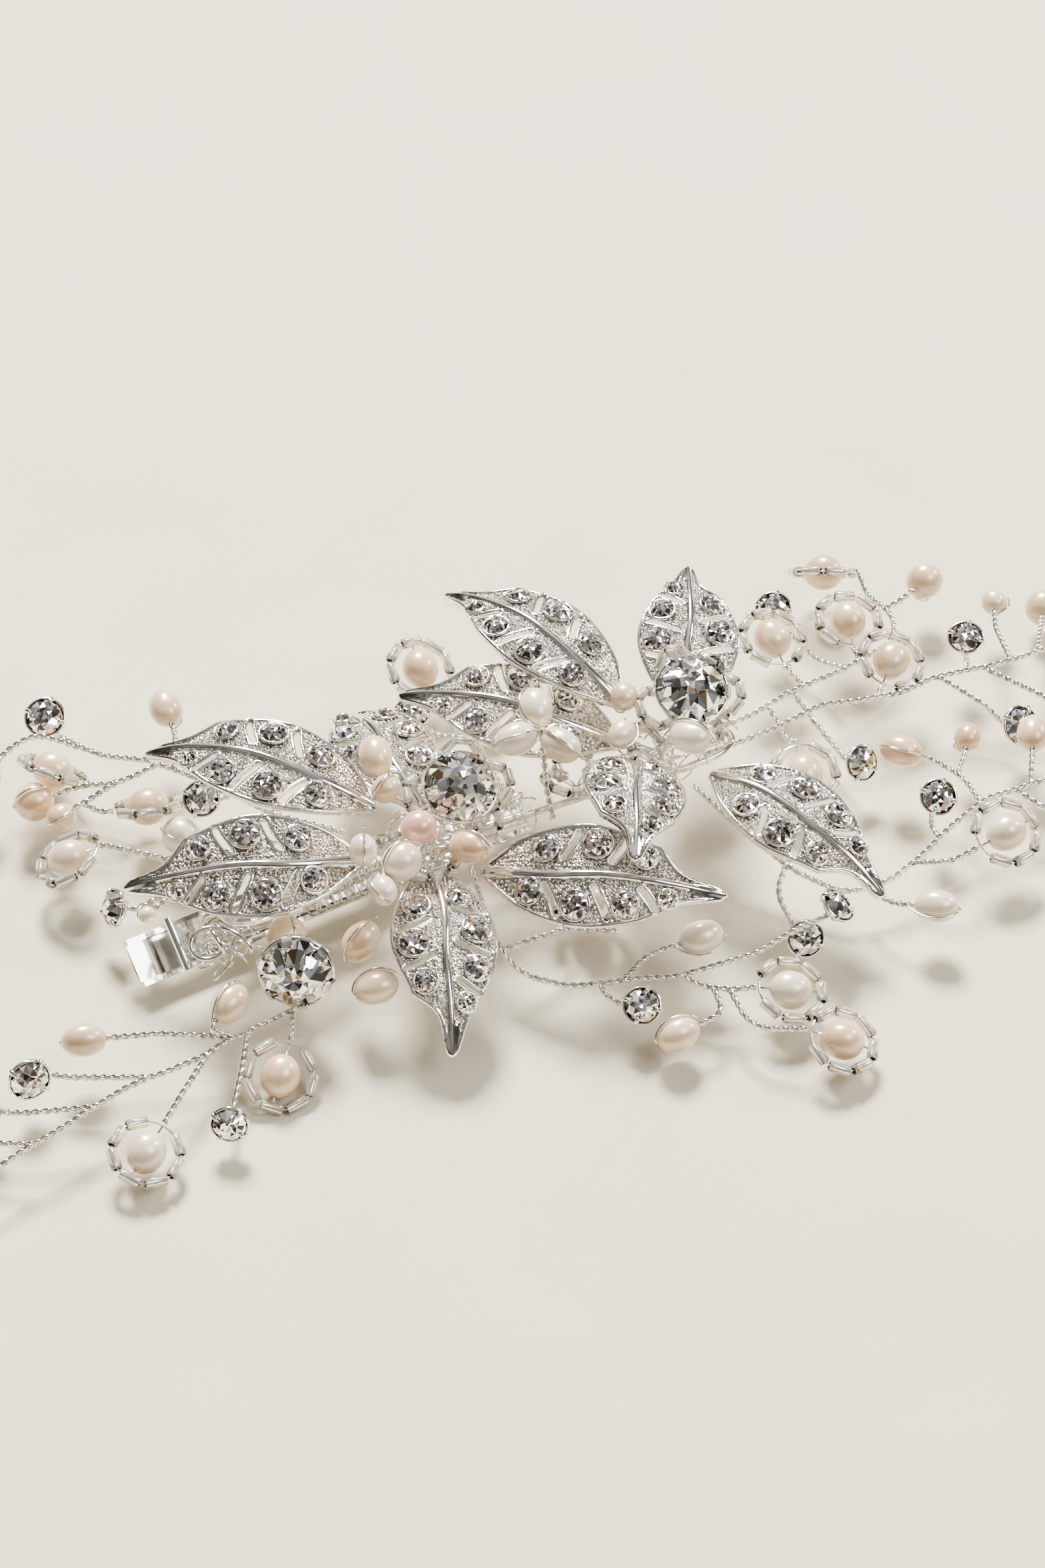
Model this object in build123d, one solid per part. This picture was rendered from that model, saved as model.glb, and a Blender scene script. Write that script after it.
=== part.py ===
"""Bridal headpiece: two cast leaf flowers and wired sprays of pearls, crystals and beads on a sprung clip.

Millimetres, +Z up, +X along the headpiece's length, the side that shows when it is worn facing up. Every
piece is placed in a working frame whose origin lies under the middle of the headpiece, then the whole is moved
so that the origin is the bottom centre of its box.
"""

import os
from math import cos, radians, sin, sqrt, tan

from build123d import *

# ---- driving dimensions ------------------------------------------------------------------------------------
STRAND_R = 0.16  # one strand of the fine craft wire
TWIST_R = 0.34  # a twisted pair of strands, as one round tube
CORE_R = 0.55  # the core wire that everything is bound to
BORE_GAP = 0.03  # bead bore over wire, radial
TOUCH_GAP = 0.02  # between pieces that only touch
PEARL_GRIP = 1.2  # how far a twig enters its pearl

BUGLE_LENGTH, BUGLE_R, BUGLE_BORE_R = 3.0, 0.65, 0.38
RING_R = 4.6  # bead rings: centre to wire
RING_SLOTS = 8  # one is left open, where the twig comes in
RING_PEARL = (6.2, 5.4)  # length along the wire, diameter
RING_LEAD = 0.9  # straight length of a twig that meets a ring

PEARL_ROUND = (5.9, 5.6)
PEARL_RICE = (6.4, 4.8)
PEARL_SMALL = (4.6, 4.0)
PEARL_SEED = (2.6, 2.4)

CHATON_D = 4.8  # twig crystals
CROWN_D = 10.0  # the three large crystals
CUP_WALL = 0.3
SOCKET_RUN = 1.6  # straight length of a twig behind a crystal cup

LEAF_LENGTH, LEAF_THICKNESS = 33.0, 0.9
LEAF_RIB_PROUD = 0.5
LEAF_STONE_H = 1.3

BINDING_TURNS = 11

CLIP_WIDTH, CLIP_SHEET = 7.0, 0.8
CLIP_ROLL = 38.0  # degrees about +X, front edge down
CLIP_HINGE = (-38.0, 10.5, 5.2)
JAW_FLOOR = -2.6  # underside of the lower jaw, below the hinge axis
JAW_TAIL, JAW_MOUTH = -20.0, 42.0  # ends of the lower jaw along the clip
RAIL_TOP = -0.5
EAR_HALF, EAR_TOP = 2.4, 1.9
PIN_R, PIN_CLEARANCE = 0.8, 0.05
UPPER_WIDTH = 5.0
SPRING_WIRE_R, SPRING_TURNS, SPRING_LEG = 0.25, 4, 6.5
SPRING_UPPER_RISE, SPRING_LOWER_DIP = 1.9, 3.1  # degrees the legs open from the clip's length

LEFT, RIGHT = "left", "right"


# ---- helpers -----------------------------------------------------------------------------------------------
def unit(v):
    return Vector(*v).normalized()


def frame_at(origin, z_dir, x_hint=(1, 0, 0)):
    """A plane at origin with the given normal and its X as near x_hint as it can be."""
    z = unit(z_dir)
    x = Vector(*x_hint)
    x = x - z * x.dot(z)
    if x.length < 1e-3:
        x = Vector(0, 1, 0) - z * z.Y
    return Plane(origin=Vector(*origin), x_dir=x.normalized(), z_dir=z)


def wire_path(points):
    """Straight runs joined by tangent arcs, each as large as its two runs allow."""
    points = [Vector(*p) for p in points]
    if len(points) == 2:
        return Wire([Edge.make_line(*points)])
    radii = []
    for a, b, c in zip(points, points[1:], points[2:]):
        turn = radians((b - a).get_angle(c - b))
        short = min((b - a).length, (c - b).length)
        radii.append(min(8.0, 0.45 * short / tan(turn / 2)))
    return FilletPolyline(*points, radius=radii).wire()


def tube(path, radius):
    start = Plane(origin=path @ 0, z_dir=path % 0)
    return sweep(start * Circle(radius), path=path)


def rod(a, b, radius):
    return tube(wire_path([a, b]), radius)


def solid_of(shape):
    """The one solid that a union should have left."""
    solids = shape.solids()
    if len(solids) != 1:
        raise ValueError(f"{len(solids)} solids where one was meant")
    return solids[0]


# ---- beads and stones --------------------------------------------------------------------------------------
def pearl(centre, along, size, bore_r=TWIST_R):
    """An oval pearl with a blind bore in the end that faces back along its wire."""
    length, diameter = size
    half = Ellipse(diameter / 2, length / 2) & Pos(diameter, 0) * Rectangle(2 * diameter, 2 * length)
    bore = Pos(0, -length / 2) * Rectangle(2 * (bore_r + BORE_GAP), 2 * (PEARL_GRIP + TOUCH_GAP))
    body = revolve(Plane.XZ * (half - bore), axis=Axis.Z)
    return frame_at(centre, along) * solid_of(body)


def ring_pearl(plane, size):
    """A pearl drilled right through, on the strand that crosses a bead ring along the plane's X."""
    length, diameter = size
    half = Ellipse(diameter / 2, length / 2) & Pos(diameter, 0) * Rectangle(2 * diameter, 2 * length)
    bore = Rectangle(2 * (STRAND_R + BORE_GAP), 2 * length)
    body = revolve(Plane.XZ * (half - bore), axis=Axis.Z)
    return plane * (Rot(0, 90, 0) * solid_of(body))


def turned(profile):
    """A solid turned about Z from (radius, height) points."""
    return solid_of(revolve(Plane.XZ * make_face(Polyline(*profile, close=True)), axis=Axis.Z))


def chaton(diameter):
    """A round cut stone: girdle at z = 0, table up, blunt culet down."""
    r = diameter / 2
    return turned([(0, -0.62 * r), (0.12 * r, -0.62 * r), (r, -0.06 * r), (r, 0.06 * r),
                   (0.58 * r, 0.42 * r), (0, 0.42 * r)])


def claw_cup(diameter, claws):
    """A claw cup round such a stone, open above, with a flat foot that its wire meets."""
    r = diameter / 2
    gap = 0.04
    foot = -0.62 * r - CUP_WALL - gap
    inner = [(0, -0.62 * r - gap), (0.12 * r + gap, -0.62 * r - gap), (r + gap, -0.06 * r - gap),
             (r + gap, 0.1 * r)]
    outer = [(r + gap + CUP_WALL, 0.1 * r), (r + gap + CUP_WALL, -0.1 * r - gap),
             (0.3 * r + CUP_WALL, foot), (0, foot)]
    cup = turned(inner + outer)
    claw = Pos(r + gap + CUP_WALL / 2, 0, 0.2 * r) * Box(CUP_WALL, 0.22 * r, 0.4 * r)
    return solid_of(cup + [Rot(0, 0, 360 * k / claws) * claw for k in range(claws)]), -foot


def bead_ring(plane):
    """Bugle beads on a round strand, open towards -X, and the strand across it that carries a pearl."""
    strand = plane * Torus(RING_R, STRAND_R)
    sag = (RING_R - sqrt(RING_R**2 - (BUGLE_LENGTH / 2) ** 2)) / 2
    near, far = RING_R - STRAND_R - TOUCH_GAP, RING_R - sag - BUGLE_R - TOUCH_GAP
    across = plane * Pos((far - near) / 2, 0, 0) * Rot(0, 90, 0) * Cylinder(STRAND_R, near + far)
    bugle = Cylinder(BUGLE_R, BUGLE_LENGTH) - Cylinder(BUGLE_BORE_R, BUGLE_LENGTH)
    laid = Pos(RING_R - sag, 0, 0) * Rot(90, 0, 0) * bugle
    bugles = [plane * Rot(0, 0, 180 + 360 * k / RING_SLOTS) * laid for k in range(1, RING_SLOTS)]
    return [solid_of(strand), solid_of(across)], [solid_of(b) for b in bugles], ring_pearl(plane, RING_PEARL)


# ---- sprays ------------------------------------------------------------------------------------------------
class Spray:
    """One branching length of twisted wire and all that is threaded or set on it."""

    def __init__(self, name, side, stem):
        self.name, self.side = name, side
        self.tubes, self.strands, self.pearls = [], [], []
        self.cups, self.stones, self.bugles = [], [], []
        self.stem = self.grow(stem)

    def grow(self, points):
        path = wire_path(points)
        self.tubes.append(tube(path, TWIST_R))
        return path

    def twig(self, parent, at, points):
        """A twig that leaves its parent at a fraction of the parent's length."""
        return self.grow([tuple(parent @ at), *points])

    def pearl(self, parent, at, points, size):
        """A twig whose last point is the centre of the pearl threaded over its end."""
        start = tuple(parent @ at)
        before, centre = Vector(*([start, *points][-2])), Vector(*points[-1])
        along = (centre - before).normalized()
        end = centre - along * (size[0] / 2 - PEARL_GRIP)
        self.grow([start, *points[:-1], tuple(end)])
        self.pearls.append(pearl(tuple(centre), tuple(along), size))

    def crystal(self, parent, at, points, facing, diameter=CHATON_D):
        """A twig whose last point is the middle of a claw-set crystal, whose cup it meets from behind."""
        centre, out = Vector(*points[-1]), unit(facing)
        cup, rise = claw_cup(diameter, claws=4)
        foot = centre - out * (rise + TOUCH_GAP)
        self.twig(parent, at, [*points[:-1], tuple(foot - out * SOCKET_RUN), tuple(foot)])
        place = frame_at(tuple(centre), facing)
        self.cups.append(place * cup)
        self.stones.append(place * chaton(diameter))

    def ring(self, parent, at, points, normal):
        """A twig whose last point is the middle of a bead ring, which it meets at the ring's open slot."""
        start = tuple(parent @ at)
        before, middle = Vector(*([start, *points][-2])), Vector(*points[-1])
        plane = frame_at(points[-1], normal, tuple(middle - before))
        meet = middle - plane.x_dir * (RING_R + STRAND_R + TOUCH_GAP)
        self.grow([start, *points[:-1], tuple(meet - plane.x_dir * RING_LEAD), tuple(meet)])
        strands, bugles, inside = bead_ring(plane)
        self.strands += strands
        self.bugles += bugles
        self.pearls.append(inside)

    def wires(self):
        return [solid_of(self.tubes[0] + self.tubes[1:]), *self.strands]


def front_left_spray():
    s = Spray("front_left_spray", LEFT, [(-36, -2.5, 6.4), (-42.5, -7.8, 4.6), (-50, -9.4, 6),
                                         (-62, -10.5, 6), (-70, -10.3, 6), (-78, -12, 6), (-90, -14, 5.5)])
    s.pearl(s.stem, 1, [(-98, -16.5, 4.2)], PEARL_ROUND)
    s.pearl(s.stem, 0.34, [(-56.5, -8.6, 8.6), (-52, -6.4, 9.4)], PEARL_RICE)
    s.pearl(s.stem, 0.33, [(-62, -4.5, 7), (-71.5, -0.8, 7.4)], PEARL_RICE)
    s.crystal(s.stem, 0.56, [(-76, -4.2, 5.6), (-80.6, -2.6, 6.2)], (-0.1, -0.95, 0.3), 5.4)
    s.pearl(s.stem, 0.72, [(-84, -8, 6.5), (-88, -4.5, 6)], PEARL_SMALL)
    s.ring(s.stem, 0.40, [(-63.5, -14.6, 5.6), (-71.9, -20.2, 3.8)], (0.05, -0.3, 0.95))
    s.crystal(s.stem, 0.30, [(-54.2, -14, 5), (-60.2, -21.8, 4.4)], (-0.5, -0.75, 0.3))
    s.ring(s.stem, 0.14, [(-49.7, -16.4, 3.0)], (-0.1, -0.55, 0.8))
    s.pearl(s.stem, 0.9, [(-91, -8.5, 5), (-96, -6, 3.2)], PEARL_RICE)
    return s


def front_middle_spray():
    s = Spray("front_middle_spray", LEFT, [(-10, 1, 8.4), (-12, -6, 7.6), (-13.5, -13.5, 6.6),
                                           (-13, -18.5, 5.6), (-8.5, -23.5, 5.4), (5.5, -30.5, 6.6),
                                           (16.5, -32.6, 7.2), (24, -32, 8)])
    s.crystal(s.stem, 1, [(30, -32.2, 9.4)], (0.45, -0.3, 0.75))
    bare = s.twig(s.stem, 0.25, [(-3.5, -14.5, 6.2), (3, -18, 5.5)])
    s.ring(bare, 0.45, [(2.1, -10.6, 5.6)], (0.0, -0.1, 1))
    s.crystal(s.stem, 0.50, [(-4.2, -28, 4.4), (-1.8, -32.2, 6)], (-0.25, -0.45, 0.85))
    s.pearl(s.stem, 0.55, [(3, -26.2, 8.4), (10.5, -27.6, 9)], PEARL_RICE)
    lower = s.twig(s.stem, 0.68, [(8, -34.4, 6.3), (11.4, -36.2, 6)])
    s.ring(lower, 1, [(17.9, -39.3, 5.2)], (0.1, -0.3, 0.95))
    s.pearl(lower, 0.55, [(8, -38.5, 5.4), (0.5, -38, 4.4)], PEARL_RICE)
    s.ring(lower, 0.85, [(9.5, -42.5, 5.0), (19.4, -50.2, 4.4)], (0.15, -0.35, 0.93))
    return s


def front_right_spray():
    s = Spray("front_right_spray", RIGHT, [(25.5, -1, 8.8), (27, -11, 8), (31, -20, 5.0), (35, -27, 4.4),
                                           (41.5, -28.5, 5.2), (48.5, -27, 6.2), (54.5, -25, 7),
                                           (61, -23.8, 8), (70, -24.5, 7.6), (80, -27, 6), (88, -26, 5)])
    s.pearl(s.stem, 1, [(94, -23.5, 4.6)], PEARL_ROUND)
    s.pearl(s.stem, 0.376, [(39, -33.5, 6.2), (43.5, -37, 6.6)], PEARL_RICE)
    s.ring(s.stem, 0.473, [(50, -31.5, 7.4), (59.5, -30.8, 7.9)], (0.0, -0.45, 0.9))
    s.crystal(s.stem, 0.543, [(52.6, -22, 5.8), (54.6, -20.8, 8.8)], (-0.2, -0.45, 0.85))
    up = s.twig(s.stem, 0.649, [(60.5, -19, 8.2), (58.5, -13.5, 8.4)])
    s.pearl(up, 0.99, [(55.5, -9.8, 8.4)], PEARL_RICE)
    s.pearl(up, 0.55, [(63.5, -14.5, 7.5), (66, -11.5, 7.5)], PEARL_SMALL)
    s.pearl(s.stem, 0.754, [(71.5, -20, 8.6), (74, -16.5, 8.6)], PEARL_RICE)
    s.crystal(s.stem, 0.719, [(69, -28.5, 5.4), (70.6, -32.4, 6)], (0.1, -0.5, 0.8))
    s.ring(s.stem, 0.877, [(83, -32, 5), (88, -40, 2.8)], (0.1, -0.2, 1))
    s.crystal(s.stem, 0.227, [(26.5, -22, 4.6), (25.4, -31.4, 4.4)], (-0.2, -0.75, 0.6))
    return s


def right_end_spray():
    s = Spray("right_end_spray", RIGHT, [(30, 3.6, 8.6), (41, 2.6, 9.2), (50.5, 3.5, 9.2), (55, 1.9, 9),
                                         (62, 0.1, 8.8), (68, 0.7, 8.6), (74, -0.6, 8.6), (81, -1.9, 8.4),
                                         (90, -1.2, 7)])
    s.crystal(s.stem, 1, [(95, -1.6, 4.4), (100.4, -2.8, 5)], (0.6, -0.3, 0.74))
    s.crystal(s.stem, 0.640, [(72.6, -5.5, 6.6), (75, -12.2, 6.2)], (0.1, -0.75, 0.65), 5.4)
    s.pearl(s.stem, 0.755, [(80.5, -8, 7), (85, -13.5, 4.2)], PEARL_RICE)
    s.crystal(s.stem, 0.722, [(76.2, 3.4, 6.2), (77.2, 5.6, 8.6)], (-0.2, -0.3, 0.93))
    s.pearl(s.stem, 0.918, [(90, 4, 6.2), (94, 9, 4.4)], PEARL_ROUND)
    s.ring(s.stem, 0.476, [(64.1, 5.9, 9.8)], (0.1, -0.35, 0.93))
    s.pearl(s.stem, 0.836, [(83, 6, 7.6), (86.5, 11.5, 7)], PEARL_SMALL)
    return s


def back_right_spray():
    s = Spray("back_right_spray", RIGHT, [(30, 7.4, 8.2), (41, 7.5, 8.4), (48, 9, 8.2), (58, 9.4, 7.8),
                                          (68, 11.2, 7.4), (71.6, 16, 7.2), (70.8, 22.5, 7.2)])
    s.ring(s.stem, 1, [(67.6, 29.6, 7.4)], (0.35, 0.6, 0.72))
    s.ring(s.stem, 0.420, [(50.4, 13.4, 9.2), (51.2, 18.4, 10.2)], (0.1, -0.3, 0.95))
    s.crystal(s.stem, 0.577, [(57.6, 16, 5), (55.9, 25.4, 8.6)], (-0.3, -0.3, 0.9))
    s.pearl(s.stem, 0.906, [(75, 18.5, 7.6), (80, 20.6, 7.2)], PEARL_ROUND)
    s.ring(s.stem, 0.624, [(61.8, 12.2, 8.2), (64.2, 17.6, 8.6)], (0, -0.2, 1))
    s.crystal(s.stem, 0.373, [(50, 4.5, 5), (50.4, -7.4, 6.4)], (0.1, -0.8, 0.6))
    s.ring(s.stem, 0.279, [(43.6, 1.4, 6.4), (42, -5.2, 6.4)], (-0.1, -0.4, 0.9))
    return s


def back_middle_spray():
    s = Spray("back_middle_spray", RIGHT, [(1, 7.5, 8.6), (2, 15, 8.6), (3, 24, 7.4), (3.2, 32, 6.4)])
    s.ring(s.stem, 1, [(4.4, 41.7, 7)], (0.1, -0.4, 0.9))
    s.crystal(s.stem, 0.723, [(0.4, 29.4, 5.4), (-1.2, 34, 7)], (-0.3, -0.3, 0.9))
    s.pearl(s.stem, 0.723, [(6.5, 28.5, 5.4), (11.5, 33, 4.4)], PEARL_RICE)
    return s


def back_left_spray():
    s = Spray("back_left_spray", LEFT, [(-22, 15.5, 8.4), (-29, 24, 8.2), (-34, 34, 8.2), (-39.5, 43, 8.2),
                                        (-45, 47.5, 8), (-48, 53.5, 8)])
    s.crystal(s.stem, 1, [(-47.9, 57.4, 5.4), (-49, 58.2, 8.8)], (-0.3, -0.45, 0.84), 5.4)
    fork = s.twig(s.stem, 0.66, [(-46, 41.8, 7.6), (-51.5, 41, 7)])
    s.pearl(fork, 0.5, [(-50, 44.6, 6.8), (-57, 45.6, 6.2)], PEARL_ROUND)
    s.pearl(fork, 1, [(-55.2, 40.4, 6.6)], PEARL_SMALL)
    s.pearl(s.stem, 0.87, [(-52, 54.8, 9.8), (-57, 54.2, 9.4), (-61.5, 51.5, 8.4)], PEARL_SMALL)
    s.ring(fork, 0.3, [(-46.6, 43.9, 5.8), (-52.1, 49.5, 7)], (0.56, 0.3, 0.77))
    s.ring(fork, 0.98, [(-50, 38.6, 6.8), (-43.4, 36.2, 6.6)], (0.17, 0.5, 0.85))
    s.crystal(s.stem, 0.40, [(-34.5, 30.6, 8.4), (-37.4, 30.6, 10)], (-0.4, -0.5, 0.77))
    s.pearl(s.stem, 0.62, [(-34.5, 44.5, 9.4), (-33.4, 50, 10)], PEARL_RICE)
    return s


def left_side_spray():
    s = Spray("left_side_spray", LEFT, [(-24, 19.5, 6.4), (-36, 22.5, 5.8), (-46, 25.5, 6.6)])
    s.ring(s.stem, 1, [(-58, 32, 7)], (-0.35, 0.25, 0.9))
    s.pearl(s.stem, 0.7, [(-40.6, 25.5, 6), (-41.4, 29.6, 5.4)], PEARL_ROUND)
    side = s.twig(s.stem, 0.55, [(-44, 20.4, 6), (-51, 19.4, 6)])
    s.crystal(side, 1, [(-56.6, 20.2, 6.8)], (-0.85, 0.1, 0.45))
    s.pearl(side, 0.6, [(-50.5, 17.8, 6.4), (-53.2, 16.6, 6.8)], PEARL_SEED)
    return s


# ---- flowers -----------------------------------------------------------------------------------------------
def leaf_outline():
    """The cast leaf flat: base at the origin, blunt tip at LEAF_LENGTH along X, with its slots through."""
    upper = Spline((0, 1.0), (6, 5.4), (14, 7.6), (22, 6.2), (28, 2.8), (33, 1.0))
    tip = ThreePointArc((33, 1.0), (34, 0), (33, -1.0))
    hollow = Spline((33, -1.0), (28, -1.9), (24.5, -5.2))
    lower = Spline((24.5, -5.2), (15, -7.4), (6, -5.2), (0, -1.0))
    base = Line((0, -1.0), (0, 1.0))
    face = make_face([upper, tip, hollow, lower, base])
    slots = [Pos(x, y) * Rot(0, 0, turn) * SlotOverall(length, 0.9) for x, y, turn, length in
             ((10.6, 4.2, 55, 4.6), (17.6, 4.6, 50, 4.4), (24.0, 3.0, 40, 3.0),
              (12.4, -4.2, -55, 4.6), (19.4, -4.2, -50, 4.2))]
    return face - slots


# where the stones sit on the flat leaf, and their diameters
LEAF_STONES = ((7.2, 2.9, 3.6), (13.9, 4.6, 4.0), (20.7, 4.0, 3.6), (26.2, 2.2, 2.6),
               (8.8, -3.2, 3.6), (16.0, -4.3, 4.0), (22.6, -3.2, 3.2))


def midrib():
    """The leaf's raised middle rib, a slender S from base to tip."""
    above = Spline((0.2, 0.6), (9, 0.9), (18, 0.2), (26, 0.2), (33.4, 0.3))
    below = Spline((33.4, -0.3), (26, -0.3), (18, -0.4), (9, 0.2), (0.2, -0.6))
    return make_face([above, Line(above @ 1, below @ 0), below, Line(below @ 1, above @ 0)])


def leaf(base, tip, face_up, bow, hand=1):
    """A cast leaf bent to a dome of radius bow, from base to tip, and its stones; hand -1 mirrors it."""
    along = Vector(*tip) - Vector(*base)
    stretch = along.length / LEAF_LENGTH
    half = along.length / 2
    drop = sqrt(bow**2 - half**2)
    dome = Pos(LEAF_LENGTH / 2 * stretch, 0, -drop)
    shell = dome * (Sphere(bow + LEAF_THICKNESS) - Sphere(bow))
    proud = dome * (Sphere(bow + LEAF_THICKNESS + LEAF_RIB_PROUD) - Sphere(bow + LEAF_THICKNESS / 2))
    outline, ridge = leaf_outline(), midrib()
    if hand < 0:
        outline, ridge = mirror(outline, about=Plane.XZ), mirror(ridge, about=Plane.XZ)
    blank = extrude(scale(outline, by=(stretch, 1, 1)), amount=half, dir=(0, 0, 1))
    rib = extrude(scale(ridge, by=(stretch, 1, 1)), amount=half, dir=(0, 0, 1))
    plate = (blank & shell) + (rib & proud)
    stones = []
    for x, y, diameter in LEAF_STONES:
        y *= hand
        from_middle = (x - LEAF_LENGTH / 2) * stretch
        reach = sqrt(from_middle**2 + y**2)
        height = sqrt((bow + LEAF_THICKNESS) ** 2 - reach**2)
        seat = frame_at((x * stretch, y, height - drop), (from_middle, y, height)) * Pos(0, 0, 0.03)
        r = diameter / 2
        stone = turned([(0, 0), (0.9 * r, 0), (r, 0.3), (r, 0.45), (0.55 * r, LEAF_STONE_H),
                        (0, LEAF_STONE_H)])
        stones.append(seat * stone)
    place = Plane(origin=Vector(*base), x_dir=along.normalized(),
                  z_dir=frame_at(base, tuple(along), face_up).x_dir)
    return place * solid_of(plate), [place * s for s in stones]


# base, tip, the way the face looks, radius of the bow, hand
LEFT_LEAVES = (
    ((-19, 12, 14), (-42, 37, 15), (0.1, -0.3, 0.95), 27),
    ((-25, 4.5, 13.5), (-55, 18, 11.5), (0.1, -0.55, 0.83), 27),
    ((-17.4, -0.4, 12), (-28, -25.4, 4), (-0.1, -0.5, 0.85), 24),
    ((-11, -4.4, 12), (14.8, -25.6, 13), (-0.1, -0.55, 0.83), 28, -1),
    ((-12, 11, 11), (-9.5, 40, 4.4), (0, 0, 1), 27),
)
RIGHT_LEAVES = (
    ((18.4, 7.4, 12.5), (-4.8, 29.8, 14.8), (0.1, -0.45, 0.9), 28),
    ((20, 10, 17), (9, 41, 19), (0.1, -0.25, 0.96), 28),
    ((28, 5, 15.4), (41.4, 27, 20.6), (-0.15, -0.35, 0.9), 26),
    ((25.4, -5.7, 14), (36.6, -32.6, 8.2), (0.1, -0.4, 0.9), 27),
    ((15.6, 1.4, 15.6), (3.6, -20.6, 21.2), (-0.1, -0.5, 0.86), 26),
)

# large crystals: girdle centre, the way the table faces
CROWNS = {
    "left_crown": ((-8.5, 6.5, 18.5), (-0.1, -0.5, 0.86)),
    "side": ((-41.6, -6.4, 10.4), (-0.55, -0.75, 0.35)),
    "right_crown": ((27.4, 3.2, 23), (-0.1, -0.4, 0.91)),
}

# flower pearls: centre, bore direction, size
LEFT_PEARLS = (
    ((-27.4, 0.2, 21), (0.3, 0.5, 0.8), PEARL_SMALL),
    ((-23.2, -3.2, 19.6), (1, 0.2, 0.1), PEARL_ROUND),
    ((-27.4, -5.6, 18.2), (0.2, 1, 0), PEARL_SMALL),
    ((-12.9, -3.6, 17.6), (0.5, -1, 0.5), PEARL_RICE),
    ((-16.8, 16, 20.6), (0.3, 1, 0.3), PEARL_RICE),
    ((-18.6, 9.6, 20.6), (1, 0.3, 0.2), PEARL_SMALL),
    ((-39.2, 1.0, 9.4), (0.3, 1, 0), PEARL_ROUND),
    ((-31.6, -6.4, 11), (0.8, 0.2, 0.6), PEARL_RICE),
    ((-32.6, -12.6, 8), (0.9, -0.2, 0.2), PEARL_RICE),
)
LEFT_PINK_PEARL = ((-18, 1.4, 19.6), (1, -0.4, 0.3), (5.2, 5.0))
RIGHT_PEARLS = (
    ((19.4, 8.4, 21.4), (0.4, 1, 0.1), PEARL_SMALL),
    ((16.0, 3.4, 19.6), (1, 0.4, 0.1), PEARL_SMALL),
    ((22.8, -4.2, 22.2), (0.6, -1, 0.2), PEARL_RICE),
)
TREFOIL_TOP = (5.2, 7.6, 22)
TREFOIL_REACH = 3.9  # from the top of the stalk to each pearl's centre
TREFOIL_WAYS = ((0.35, 1, 0.25), (-1, 0.1, 0.0), (0.3, -1, -0.05))


# ---- armature and clip -------------------------------------------------------------------------------------
def core_wire():
    """Thick wire along the headpiece, turned back on itself at both ends in a hairpin loop."""
    route = [(-35, 4.8, 9.2), (-42, 4.9, 9.6), (-46, 5.8, 10.4), (-46.3, 8.0, 11), (-42, 8.6, 10.6),
             (-32, 7.6, 9), (-6, 6.4, 9), (14, 3.6, 9.6), (26, 1.4, 10), (31.5, 1.0, 10.4),
             (34.6, 2.4, 10.6), (34.4, 5.2, 10.6), (30, 6.2, 10.6), (21, 6.0, 10.8)]
    return solid_of(tube(wire_path(route), CORE_R))


def binding_wire():
    """Turns of fine wire drawn round the core and the upper jaw, each as a closed loop."""
    turns = []
    for k in range(BINDING_TURNS):
        lean = 0.05 * (k % 3 - 1)
        plane = clip_plane() * Plane(origin=(6 + 1.1 * k, 0.1, 3.2), x_dir=(0, 1, 0), z_dir=(1, lean, lean))
        loop = (plane * RectangleRounded(7.0, 6.4, 2.4)).wire()
        turns.append(solid_of(tube(loop, STRAND_R)))
    return turns


def clip_plane():
    return Plane(origin=CLIP_HINGE, x_dir=(1, 0, 0),
                 z_dir=(0, -sin(radians(CLIP_ROLL)), cos(radians(CLIP_ROLL))))


def across_clip(profile, width):
    """A side profile in clip (length, height) carried across the clip's width, centred."""
    return extrude(Plane.XZ * profile, amount=width / 2, both=True)


def hinge_bore(radius, width):
    return Rot(90, 0, 0) * Cylinder(radius, width)


def clip_lower_jaw():
    length = JAW_MOUTH - JAW_TAIL
    middle = (JAW_MOUTH + JAW_TAIL) / 2
    floor = Pos(middle, 0, JAW_FLOOR + CLIP_SHEET / 2) * Box(length, CLIP_WIDTH, CLIP_SHEET)
    wall_y = (CLIP_WIDTH - CLIP_SHEET) / 2
    ear = make_face(Polyline((-EAR_HALF - 1.5, JAW_FLOOR), (-EAR_HALF, EAR_TOP), (EAR_HALF, EAR_TOP),
                             (EAR_HALF + 1.5, JAW_FLOOR), close=True))
    jaw = floor
    for side in (-1, 1):
        rail = Pos(middle, side * wall_y, (JAW_FLOOR + RAIL_TOP) / 2) * Box(
            length, CLIP_SHEET, RAIL_TOP - JAW_FLOOR)
        jaw += rail + Pos(0, side * wall_y, 0) * across_clip(ear, CLIP_SHEET)
    jaw -= hinge_bore(PIN_R + PIN_CLEARANCE, 2 * CLIP_WIDTH)
    tooth_gap = Rot(0, 45, 0) * Box(0.9, 2 * CLIP_WIDTH, 0.9)
    jaw -= [Pos(20 + 1.8 * k, 0, RAIL_TOP + 0.1) * tooth_gap for k in range(12)]
    return solid_of(jaw)


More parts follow.
